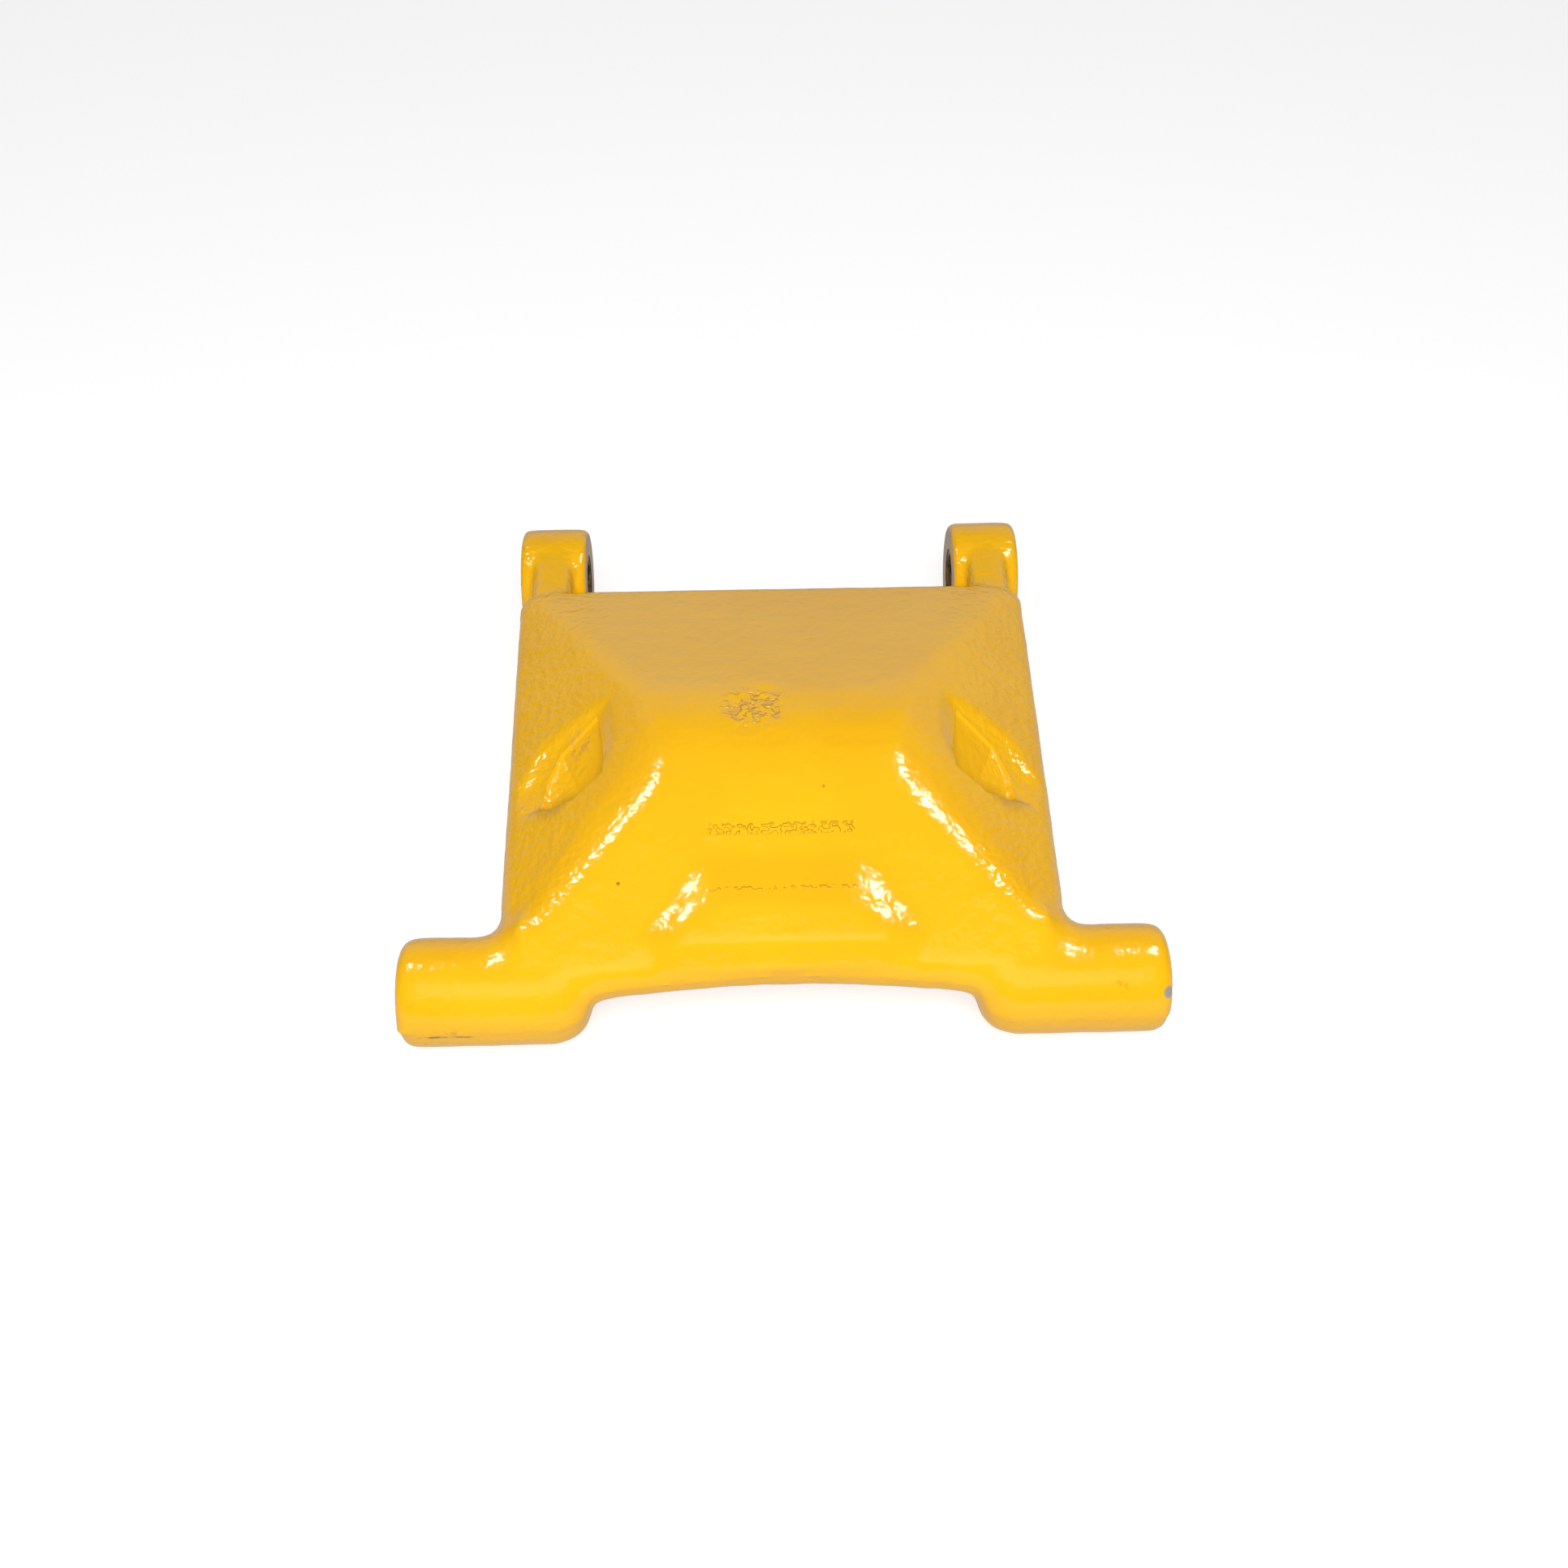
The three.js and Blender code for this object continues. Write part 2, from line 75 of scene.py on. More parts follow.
# %% Axes and faces read from the frame
MM = 0.001
SIDES = {"left": -1, "right": 1}


def node_box(node):
    low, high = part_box(node)
    return low / MM, high / MM


def node_middle(node):
    low, high = node_box(node)
    return (low + high) / 2


front_pin = node_middle("boss_bush_outer_right")
ear_pin = node_middle("ear_bush_right")
boss_end_x = node_box("link_casting")[1].x
body_low, body_high = node_box("link_casting")
EAR_RADIUS = body_high.y - ear_pin.y
BOSS_RADIUS = front_pin.z
ear_bush_low, ear_bush_high = node_box("ear_bush_right")
BUSH_RECESS = 0.8  # how far the ends of an ear bush lie inside the faces
EAR_INNER_X = ear_bush_low.x - BUSH_RECESS
EAR_OUTER_X = ear_bush_high.x + BUSH_RECESS


def at(across, run, up):
    """A point given across from the middle, back from the front pin axis, and up."""
    return Vector((across, front_pin.y + run, up))


print("front pin y, z:", round(front_pin.y, 2), round(front_pin.z, 2))
print("ear pin y, z:", round(ear_pin.y, 2), round(ear_pin.z, 2), "radius:", round(EAR_RADIUS, 2))

# %% [markdown]
# ## Planes that meet
# The crown is bounded by flat faces, and every corner between them is rounded as a pattern maker
# rounds it. A ball that touches three faces sits where those faces meet once each is moved in by
# the ball's radius. The skin stretched round such balls is flat between them and round at each
# edge, so an edge can be tight at one end and soft at the other.

# %% A face as a plane, and the corner of three
FRONT_SLOPE = math.radians(30)
BACK_SLOPE = math.radians(14.8)
CREST_RUN = 90.5
CREST_ARCS = [(0, 100), (14.8, 125)]  # lean in degrees at the end of each arc, and its radius
BODY_RUN = 264
BODY_FRONT_X = 130.5
BODY_REAR_X = 134
BODY_FLOOR = 14


class Face:
    """A flat face of the crown: its outward normal and how far it lies along that normal."""

    def __init__(self, normal, point):
        self.normal = Vector(normal).normalized()
        self.reach = self.normal.dot(point)

    def inwards(self, inset):
        moved = Face(self.normal, Vector())
        moved.reach = self.reach - inset
        return moved


def through(a, b, c, inside):
    """The face through three points that looks away from a point inside the body."""
    normal = (b - a).cross(c - a)
    if normal.dot(inside - a) > 0:
        normal.negate()
    return Face(normal, a)


def corner(faces, inset):
    rows = Matrix([face.normal for face in faces])
    return rows.inverted() @ Vector([face.reach - inset for face in faces])


front_normal = Vector((0, -math.sin(FRONT_SLOPE), math.cos(FRONT_SLOPE)))
back_normal = Vector((0, math.sin(BACK_SLOPE), math.cos(BACK_SLOPE)))
front_touch = at(0, 0, BOSS_RADIUS) + front_normal * BOSS_RADIUS
front_face = Face(front_normal, front_touch)
crest_up = front_touch.z + (at(0, CREST_RUN, 0).y - front_touch.y) * math.tan(FRONT_SLOPE)
back_face = Face(back_normal, at(0, CREST_RUN, crest_up))
middle_of_body = at(0, 120, 30)
side_face = through(at(58, 76, 97.7), at(118, -9, 48.6), at(BODY_REAR_X - 2, BODY_RUN, 59),
                    middle_of_body)
wall_face = through(at(BODY_FRONT_X, 0, 0), at(BODY_FRONT_X, 0, 50), at(BODY_REAR_X, BODY_RUN, 0),
                    middle_of_body)
rear_face = Face((0, 1, 0), at(0, BODY_RUN, 0))
floor_face = Face((0, 0, -1), at(0, 0, BODY_FLOOR))


def shoulder_faces(width=31, bend=130, turn=16, strips=4):
    """Narrow faces that carry the side face round on a wide bend, in towards the ridge."""
    ridge_line = front_face.normal.cross(side_face.normal).normalized()
    outwards = ridge_line.cross(side_face.normal)
    if outwards.x < 0:
        outwards.negate()
    edge = corner([front_face, side_face, Face((1, 0, 0), at(90, 0, 0))], 0)
    hub = edge + outwards * width - side_face.normal * bend
    faces = []
    for strip in range(1, strips + 1):
        lean = math.radians(turn * strip / strips)
        normal = side_face.normal * math.cos(lean) - outwards * math.sin(lean)
        faces.append(Face(normal, hub + normal * bend))
    return faces


shoulders = shoulder_faces()
ridge_face = shoulders[-1]
print("sharp crest would stand at", round(crest_up, 1), "mm")

# %% [markdown]
# ## Working with meshes
# Each helper does one bench job: stretch a skin round balls, turn a profile about a pin, wind a
# tube, join, and cut. `convex_hull` makes the skin, `spin` turns the profile, and a Boolean
# modifier that is applied at once does the cutting.

# %% Bench helpers
TOUCHING = 1e-4  # points nearer than this are one point


def new_object(name, bm):
    mesh = bpy.data.meshes.new(name)
    bm.to_mesh(mesh)
    bm.free()
    thing = bpy.data.objects.new(name, mesh)
    bpy.context.scene.collection.objects.link(thing)
    return thing


def discard(*things):
    for thing in things:
        bpy.data.objects.remove(thing)


def bake_modifiers(thing):
    """Replaces the mesh by what its modifiers make of it."""
    view = bpy.context.evaluated_depsgraph_get()
    result = bpy.data.meshes.new_from_object(thing.evaluated_get(view))
    thing.modifiers.clear()
    thing.data = result
    return thing


def combine(thing, other, operation):
    cut = thing.modifiers.new("cut", "BOOLEAN")
    cut.operation, cut.object, cut.solver = operation, other, "EXACT"
    bake_modifiers(thing)
    discard(other)
    return thing


def skin_round(balls, both=False, detail=3):
    """The hull round (centre, radius) balls, mirrored to the other side if both is set."""
    bm = bmesh.new()
    for centre, radius in balls:
        for side in (1, -1) if both else (1,):
            place = Matrix.Translation(Vector((centre.x * side, centre.y, centre.z)))
            bmesh.ops.create_icosphere(bm, subdivisions=detail, radius=radius, matrix=place)
    bmesh.ops.remove_doubles(bm, verts=bm.verts, dist=TOUCHING)
    made = bmesh.ops.convex_hull(bm, input=bm.verts)
    kept = {e for e in made["geom"] if isinstance(e, bmesh.types.BMFace)}
    bmesh.ops.delete(bm, geom=[f for f in bm.faces if f not in kept], context="FACES_ONLY")
    bmesh.ops.delete(bm, geom=[v for v in bm.verts if not v.link_faces], context="VERTS")
    bmesh.ops.delete(bm, geom=[e for e in bm.edges if not e.link_faces], context="EDGES")
    bmesh.ops.recalc_face_normals(bm, faces=bm.faces)
    return bm


def lathe(profile, ends_on_axis, centre, axis, steps):
    """Spins a profile once round an axis, and closes it first unless its ends are on the axis."""
    bm = bmesh.new()
    points = [bm.verts.new(point) for point in profile]
    edges = [bm.edges.new(pair) for pair in zip(points, points[1:])]
    if not ends_on_axis:
        edges.append(bm.edges.new((points[-1], points[0])))
    bmesh.ops.spin(bm, geom=points + edges, cent=centre, axis=axis, dvec=(0, 0, 0),
                   angle=2 * math.pi, steps=steps, use_merge=True)
    bmesh.ops.remove_doubles(bm, verts=bm.verts, dist=TOUCHING)
    bmesh.ops.recalc_face_normals(bm, faces=bm.faces)
    return bm


def turned(profile, y, z, steps=96):
    """Turns a profile of (x, radius) points about the line along X through (y, z)."""
    ends_on_axis = profile[0][1] < TOUCHING and profile[-1][1] < TOUCHING
    points = [(x, y, z + radius) for x, radius in profile]
    return lathe(points, ends_on_axis, (0, y, z), (1, 0, 0), steps)


def upright(profile, steps=48):
    """Turns a profile of (radius, height) points about the vertical."""
    ends_on_axis = profile[0][0] < TOUCHING and profile[-1][0] < TOUCHING
    points = [(radius, 0, height) for radius, height in profile]
    return lathe(points, ends_on_axis, (0, 0, 0), (0, 0, 1), steps)


def loft(rings):
    """A closed tube through rings of points."""
    bm = bmesh.new()
    rows = [[bm.verts.new(point) for point in ring] for ring in rings]
    for near, far in zip(rows, rows[1:]):
        for k in range(len(near)):
            after = (k + 1) % len(near)
            bm.faces.new((near[k], near[after], far[after], far[k]))
    bm.faces.new(rows[0][::-1])
    bm.faces.new(rows[-1])
    bmesh.ops.recalc_face_normals(bm, faces=bm.faces)
    return bm


def mirrored(bm):
    """The same shape on the other side of the middle plane."""
    bmesh.ops.scale(bm, vec=(-1, 1, 1), verts=bm.verts)
    bmesh.ops.reverse_faces(bm, faces=bm.faces)
    return bm


def on_side(bm, side):
    return bm if side > 0 else mirrored(bm)


def join(name, bms):
    """Several loose shapes in one mesh, which may overlap."""
    whole = bmesh.new()
    for bm in bms:
        part = bpy.data.meshes.new("part")
        bm.to_mesh(part)
        bm.free()
        whole.from_mesh(part)
        bpy.data.meshes.remove(part)
    return new_object(name, whole)


print("helpers ready, quick look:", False)

# %% [markdown]
# ## The crown of the casting
# The body is a low, four-sided roof over an open hollow. It could be a box with bevelled edges,
# but here some edges are tight and others are very soft, and a bevel fights where they meet. Balls
# at the corners with a skin round them give both. The crest is a row of balls on a wide bend, and
# the two rear hips fade from a tight radius at the crest to a wide one at the rear edge.

# %% Crown
EDGE = 9  # radius where the side facets turn down into the walls
RIDGE = 14  # radius of the ridges beside the front panel
HIP = 30  # radius of the hips where they reach the rear edge
REAR_EDGE = 4.5
FOOT_EDGE = 5
LIP = 14
LIP_ARCH = 5.6
LIP_ENDS = 82


def leaning(lean):
    """The direction that leans back from the vertical by an angle."""
    return Vector((0, math.sin(lean), math.cos(lean)))


def crest_line(inset, steps=7):
    """Points and normals over the crest, from the front face round to the back face."""
    centres, hub, lean = [], -front_normal * CREST_ARCS[0][1], -FRONT_SLOPE
    for end, radius in CREST_ARCS:
        if centres:
            hub = hub + leaning(lean) * (centres[-1][3] - radius)
        centres.append((hub, lean, math.radians(end), radius))
        lean = math.radians(end)
    last = centres[-1][0] + back_face.normal * centres[-1][3]
    along = Vector((0, math.cos(FRONT_SLOPE), math.sin(FRONT_SLOPE)))
    start = at(0, CREST_RUN, crest_up) - along * (back_face.normal.dot(last)
                                                  / back_face.normal.dot(along))
    for hub, lean, end, radius in centres:
        for step in range(steps + 1):
            radial = leaning(lean + (end - lean) * step / steps)
            yield start + hub + radial * (radius - inset), radial


def crest_balls(inset, radius):
    balls = []
    for point, radial in crest_line(inset):
        planes = [Face(radial, point), Face((0, 1, 0), point)]
        spots = [corner(planes + [face.inwards(inset)], 0) for face in (side_face, *shoulders)]
        balls.append((min(spots, key=lambda spot: spot.x), radius))
    return balls


def shoulder_balls(edge=RIDGE):
    """Balls along the breaks between the shoulder strips, at the hip and at the wall."""
    faces = [side_face, *shoulders]
    front_end = Face((0, -1, 0), at(0, 0, 0))
    over = [Face(radial, point) for point, radial in crest_line(0)][1:] + [back_face]
    balls = []
    for near, far in zip(faces, faces[1:]):
        low_ends = [corner([near, far, end], edge) for end in (front_end, wall_face)]
        high_ends = [corner([near, far, end], edge) for end in over]
        balls.append((min(high_ends, key=lambda spot: spot.y), edge))
        balls.append((min(low_ends, key=lambda spot: spot.x), edge))
    return balls


def hip_balls(steps=8):
    """Small balls at the rear edge, set round the wide hip so that the edge itself stays tight."""
    rear = Face((0, 1, 0), at(0, BODY_RUN - REAR_EDGE, 0))
    middle = corner([back_face.inwards(HIP), side_face.inwards(HIP), rear], 0)
    hip_line = back_face.normal.cross(side_face.normal)
    balls = []
    for step in range(steps + 1):
        out = back_face.normal.lerp(side_face.normal, step / steps).normalized()
        spot = middle + out * (HIP - REAR_EDGE)
        spot += hip_line * ((middle.y - spot.y) / hip_line.y)
        balls.append((spot, REAR_EDGE))
    return balls


def lip_ball(across, up_slope):
    slope = Vector((0, math.cos(FRONT_SLOPE), math.sin(FRONT_SLOPE)))
    foot = at(across, 0, 0)
    foot.z = (front_face.reach - LIP - front_normal.y * foot.y) / front_normal.z
    return foot + slope * up_slope, LIP


def lip_bars(steps=12):
    """The arched lower edge, as short bars that follow each other across the beam."""
    ends = [LIP_ENDS * step / steps for step in range(steps + 1)] + [BODY_FRONT_X - LIP]
    bars = []
    for near, far in zip(ends, ends[1:]):
        balls = []
        for across in (near, far):
            arch = LIP_ARCH * max(0, 1 - (across / LIP_ENDS) ** 2)
            balls += [lip_ball(across, arch), lip_ball(across, arch + LIP)]
        bars += [skin_round(balls), mirrored(skin_round(balls))]
    return bars


crown_balls = crest_balls(RIDGE, RIDGE) + hip_balls() + shoulder_balls() + [
    (corner([side_face, wall_face, rear_face], EDGE), EDGE),
    (corner([wall_face, floor_face, rear_face], FOOT_EDGE), FOOT_EDGE),
    (at(BODY_FRONT_X - FOOT_EDGE, 28, BODY_FLOOR + FOOT_EDGE), FOOT_EDGE),
    lip_ball(BODY_FRONT_X - LIP, LIP_ARCH),
]
crown = new_object("crown", skin_round(crown_balls, both=True))
print("crown", len(crown.data.polygons), "faces")

# %% [markdown]
# ## The core that leaves the hollow
# A founder puts a sand core in the mould to leave the hollow. The core here is one wall thickness
# inside the crown, and slots cut through it leave the keel, the cross rib and a gusset behind each
# side pocket. Cutting the core and then taking it away is what makes the ribs run into the roof.

# %% Core
WALL = 13
CORE_EDGE = 5
RIB = 10
RIB_FLOOR = 24
CROSS_RIB_RUN = 178
GUSSET_FLOOR = 40
GUSSET_OUTLINE = [(70, 68), (70, 150), (140, 110), (140, 66)]
inset = WALL + CORE_EDGE
nose = Face((0, -1, 0), at(0, 18 - WALL, 0))
below = Face((0, 0, -1), at(0, 0, -3 * inset))
core_balls = crest_balls(inset, CORE_EDGE) + [
    (corner(faces, inset), CORE_EDGE) for faces in (
        [front_face, side_face, nose], [side_face, wall_face, nose],
        [back_face, side_face, rear_face], [side_face, wall_face, rear_face],
        [below, wall_face, nose], [below, wall_face, rear_face])]
core = new_object("core", skin_round(core_balls, both=True))


def slab(low, high, edge=2.0):
    """A block with its edges rounded."""
    bm = bmesh.new()
    size = high - low
    place = Matrix.Translation((low + high) / 2) @ Matrix.Diagonal((*size, 1))
    bmesh.ops.create_cube(bm, size=1, matrix=place)
    bmesh.ops.bevel(bm, geom=bm.edges[:], offset=edge, segments=3, profile=0.5,
                    affect="EDGES", material=-1)
    return bm


keel = slab(at(-RIB / 2, -40, RIB_FLOOR), at(RIB / 2, BODY_RUN + 20, 140))
cross = slab(at(-170, CROSS_RIB_RUN - RIB / 2, RIB_FLOOR), at(170, CROSS_RIB_RUN + RIB / 2, 140))
for web in (keel, cross):
    combine(core, new_object("web", web), "DIFFERENCE")
for side in SIDES.values():
    gusset = [(at(x, run, up), 2) for x, run in GUSSET_OUTLINE for up in (GUSSET_FLOOR + 2, 140)]
    combine(core, new_object("gusset", on_side(skin_round(gusset), side)), "DIFFERENCE")
print("core", len(core.data.polygons), "faces")

# %% [markdown]
# ## Pockets, pad, bosses and ears
# The pattern carries a three-cornered pocket on each side face, a raised pad low on the front, and
# the four bosses. A pocket is a soft funnel first, cut before the skin is poured so that its rim
# comes out round, and a crisp floor after it. Turned shapes come from `spin`, the rest again from
# balls and a skin.

# %% Pocket, pad, boss and ear shapes
# Corners of the side pocket as (across, run, depth under the side face).
FUNNEL = [(80, 142, -1), (103.7, 132.8, -1), (115, 125.8, -1), (124.6, 103.6, -1),
          (121, 86, -1), (97, 83.5, -1), (85, 90.5, -1), (78.5, 108, -1),
          (90, 132.8, 1.7), (108.5, 120, 1.7), (114.3, 104.5, 1.7), (115, 91, 1.7),
          (98, 86, 1.7), (88, 93, 1.7), (86, 109, 1.7)]
POCKET_FLOOR = [(89.8, 131.2, 2.5), (107.8, 118.8, 2.7), (113.2, 104, 3.4), (114.2, 90.5, 4.8),
                (98, 82, 8.5), (86.2, 90, 7.2), (86.7, 108, 5),
                (89.9, 132.8, -3), (108.6, 120.1, -3), (114.3, 104.6, -3), (117, 88.5, -3),
                (112.5, 82, -3), (97.3, 78.3, -3), (83, 86.5, -3), (86.2, 108, -3)]
PAD_HEIGHT = 6
BOSS_INNER_X = 88
STOCK = 0.6  # extra metal that the machining takes off again


def on_face(face, across, run, lift):
    """The point of a face above a place in plan, lifted off it."""
    height = (face.reach - face.normal.x * across - face.normal.y * at(0, run, 0).y)
    return at(across, run, height / face.normal.z) + face.normal * lift


def in_side_face(corners, edge):
    """The hull of small balls set at depths under the side face."""
    return skin_round([(on_face(side_face, x, run, edge - depth), edge)
                       for x, run, depth in corners])


def pad_shape(edge=2):
    foot = [(36, 38), (69, 1), (60, -9)]
    top = [(30, 14), (46, 4), (43, 0)]
    balls = [(on_face(front_face, x, run, -edge - 1), edge) for x, run in foot]
    balls += [(on_face(front_face, x, run, PAD_HEIGHT - edge), edge) for x, run in top]
    return skin_round(balls, both=True)


def ridge_foot():
    """The low end of a ridge, where it runs down on to the front boss."""
    inner = Face((-1, 0, 0), at(96, 0, 0))
    low = Face((0, -1, 0), at(0, -13, 0))
    upper = Face((0, 1, 0), at(0, 30, 0))
    balls = [(corner([front_face, ridge_face, end], RIDGE), RIDGE) for end in (low, upper)]
    for near, far in zip([side_face, *shoulders], shoulders):
        ends = [corner([near, far, end], RIDGE) for end in (low, wall_face)]
        balls.append((min(ends, key=lambda spot: spot.x), RIDGE))
    balls += [(corner([front_face, inner, low], EDGE), EDGE),
              (at(BODY_FRONT_X - EDGE, 14, 28), EDGE), (at(108, 6, 30), EDGE)]
    return skin_round(balls)


def rounded_end(end, radius, edge, outwards, steps=8):
    """Profile points round the rim of a boss end, from the side to the end face."""
    turns = [math.pi / 2 * step / steps for step in range(steps + 1)]
    return [(end - outwards * edge * (1 - math.sin(t)), radius - edge * (1 - math.cos(t)))
            for t in turns]


def front_boss():
    inner = rounded_end(BOSS_INNER_X, BOSS_RADIUS, 16, -1)[::-1]
    outer = rounded_end(boss_end_x + STOCK, BOSS_RADIUS, 6.5, 1)
    return turned([(BOSS_INNER_X, 0)] + inner + outer + [(boss_end_x + STOCK, 0)],
                  front_pin.y, front_pin.z)


def ear_boss():
    inner = rounded_end(EAR_INNER_X - STOCK, EAR_RADIUS, 3, -1)[::-1]
    outer = rounded_end(EAR_OUTER_X + STOCK, EAR_RADIUS, 3.5, 1)
    return turned([(EAR_INNER_X - STOCK, 0)] + inner + outer + [(EAR_OUTER_X + STOCK, 0)],
                  ear_pin.y, ear_pin.z)


def ear_arm(inner=113, outer=135, radius=29, edge=5):
    balls = []
    for x in (inner + edge, outer - edge):
        for step in range(24):
            turn = 2 * math.pi * step / 24
            reach = radius - edge
            balls.append((Vector((x, ear_pin.y + reach * math.sin(turn),
                                  ear_pin.z + reach * math.cos(turn))), edge))
    for x in (inner + edge, BODY_REAR_X - 2 - edge):
        for up in (BODY_FLOOR + edge, 58 - edge):
            balls.append((at(x, BODY_RUN - 26, up), edge))
    return skin_round(balls, detail=2)


print("pocket", max(depth for x, run, depth in POCKET_FLOOR), "mm deep")

# %% [markdown]
# ## Pouring the casting
# The pieces of the pattern overlap, and the sand sees only their outer skin. A voxel remesh does
# the same: it walks over all of them and leaves one closed skin of even small squares. Smoothing
# that skin then rounds every inner corner, as the metal does where the mould wall curves. Places
# with a wide cast fillet get more smoothing than the rest.

# %% One skin
FINE_VOXEL, QUICK_VOXEL = 2.05, 2.8
VOXEL = FINE_VOXEL

lip = join("lip", lip_bars())
shell = combine(crown, core, "DIFFERENCE")
for side in SIDES.values():
    combine(shell, new_object("funnel", on_side(in_side_face(FUNNEL, 1.5), side)), "DIFFERENCE")
shapes = [pad_shape()]
for side in SIDES.values():
    shapes += [on_side(shape(), side) for shape in (front_boss, ear_boss, ear_arm, ridge_foot)]
rest = join("rest", shapes)


def pour(name, things, size):
    whole = bmesh.new()
    for thing in things:
        whole.from_mesh(thing.data)
    discard(*things)
    piece = new_object(name, whole)
    remesh = piece.modifiers.new("skin", "REMESH")
    remesh.mode, remesh.voxel_size, remesh.adaptivity = "VOXEL", size, 0
    return bake_modifiers(piece)


casting = pour("cast_body", [shell, lip, rest], VOXEL)
print("poured skin:", len(casting.data.polygons), "squares")

# %% [markdown]
# ## Fillets
# Metal cannot fill a sharp inner corner, so a pattern maker rounds every one. Bevels would have to
# find those corners in the remeshed skin. Smoothing the points finds them by itself, and more
# passes where a boss, the arch or an ear meets the body give the wide fillets found there.

# %% Smooth the fillets
def smooth(bm, passes, chosen=None):
    verts = bm.verts if chosen is None else [v for v in bm.verts if chosen(v.co)]
    for _ in range(round(passes * (FINE_VOXEL / VOXEL) ** 2)):
        bmesh.ops.smooth_vert(bm, verts=verts, factor=0.5, use_axis_x=True, use_axis_y=True,
                              use_axis_z=True)
    return len(verts)


def from_pin(pin, point):
    """Distance of a point from a pin axis."""
    return math.hypot(point.y - pin.y, point.z - pin.z)


def beside_boss(point):
    """Where a front boss runs into the side of the body."""
    return (121 < abs(point.x) < 145 and from_pin(front_pin, point) > BOSS_RADIUS - 6
            and from_pin(front_pin, point) < BOSS_RADIUS + 14 and point.y > front_pin.y - 12)


def under_arch(point):
    """Where the arched lip runs down into the inner end of a front boss."""
    return (66 < abs(point.x) < 104 and front_pin.y - 32 < point.y < front_pin.y + 14
            and point.z < 46)


def beside_ear(point):
    """The rear edge of the body where it turns into the arm of an ear."""
    return (104 < abs(point.x) < 124 and abs(point.y - at(0, BODY_RUN, 0).y) < 12
            and point.z < 66)


bm = bmesh.new()
bm.from_mesh(casting.data)
smooth(bm, 4)
print("boss fillets:", smooth(bm, 60, beside_boss), "points")
print("arch ends:", smooth(bm, 24, under_arch), "points")
print("ear roots:", smooth(bm, 14, beside_ear), "points")
smooth(bm, 2)

# %% [markdown]
# ## What the mould left behind
# No sand mould gives a true plane. Every point moves a tenth of a millimetre or so along its
# normal by slow noise. The two halves of the mould met along the front bosses, so the skin steps
# in below that line, and a patch on the crest is pitted where sand was lost.

# %% Waviness, parting line and old pits
PARTING_STEP = 0.7
PITS_AT = at(-11, 116, 98)
PIT_DEPTH = 3.2
SAG_DEPTH = 0.8


def wave(point, length):
    return noise.noise(point / length)


def ramp(value, start, end):
    """0 at start, 1 at end, with a soft step between."""
    share = min(1, max(0, (value - start) / (end - start)))
    return share * share * (3 - 2 * share)


def below_parting(vert):
    """How far a point at the front is under the line where the two mould halves met."""
    front = ramp(vert.co.y, front_pin.y + 2, front_pin.y - 4) * ramp(vert.normal.y, 0.3, 0.0)
    return front * ramp(-vert.normal.z, 0.0, 0.09)


def sag(point):
    """The run of paint that hangs from the parting line at the left boss end."""
    along = ramp(point.x, -136, -152) * ramp(point.y, front_pin.y - 14, front_pin.y - 20)
    return along * ramp(abs(point.z - 25.5), 3.2, 0.5) * (0.7 + wave(point, 4))


def pitted(point):
    """The patch of old pits on the crest, under the paint."""
    away = (point - PITS_AT) * 0.5
    away.x *= 1.6
    return ramp(away.length, 15, 6) * abs(wave(point, 8)) * PIT_DEPTH


GROWTH = 0.35  # what the smoothing took off
bm.normal_update()
shifts = {}
for vert in bm.verts:
    rough = wave(vert.co, 16) * 0.16 + wave(vert.co + Vector((90, 0, 0)), 6.5) * 0.11
    rough += GROWTH - PARTING_STEP * below_parting(vert)
    rough += SAG_DEPTH * sag(vert.co) - pitted(vert.co)
    shifts[vert] = vert.normal * rough
for vert, shift in shifts.items():
    vert.co += shift
    vert.co.y = min(max(vert.co.y, body_low.y), body_high.y)
    vert.co.z = min(max(vert.co.z, body_low.z), body_high.z)
bm.to_mesh(casting.data)
bm.free()
print("waviness up to", round(max(s.length for s in shifts.values()), 2), "mm")

# %% [markdown]
# ## Machining
# Bores, seal seats and the faces that other parts run against are cut after the casting is
# poured, so their edges are crisp. Each cutter is turned with its lead-in chamfer, as a boring
# bar would leave it, and the stock left on the ear faces and boss ends comes off here.

# %% Bores and faces
FIT = 0.06
SEAL_RADIUS = 17.5
SEAL_WIDTH = 6
BLIND_WALL = 9  # metal left at the closed inner end of a front boss
BLIND_X = BOSS_INNER_X + BLIND_WALL
front_bush_radius = (node_box("boss_bush_outer_right")[1].z - front_pin.z) + FIT
ear_bush_radius = (ear_bush_high.z - ear_pin.z) + FIT


def front_bore():
    seat = boss_end_x - SEAL_WIDTH - FIT
    radius, seal = front_bush_radius, SEAL_RADIUS + FIT
    return turned([(BLIND_X, 0), (BLIND_X, radius), (seat, radius), (seat, seal),
                   (boss_end_x - 0.8, seal), (boss_end_x + 0.4, seal + 1.2),
                   (boss_end_x + 4, seal + 1.2), (boss_end_x + 4, 0)],
                  front_pin.y, front_pin.z)


def ear_bore():
    radius = ear_bush_radius
    return turned([(EAR_INNER_X - 4, 0), (EAR_INNER_X - 4, radius + 1.0),
                   (EAR_INNER_X - 0.2, radius + 1.0), (EAR_INNER_X + 0.8, radius),
                   (EAR_OUTER_X - 0.8, radius), (EAR_OUTER_X + 0.2, radius + 1.0),
                   (EAR_OUTER_X + 4, radius + 1.0), (EAR_OUTER_X + 4, 0)],
                  ear_pin.y, ear_pin.z)


def facing(x, thickness, pin, radius):
    """A disc that takes the stock off an end face."""
    return turned([(x, 0), (x, radius), (x + thickness, radius), (x + thickness, 0)],
                  pin.y, pin.z)


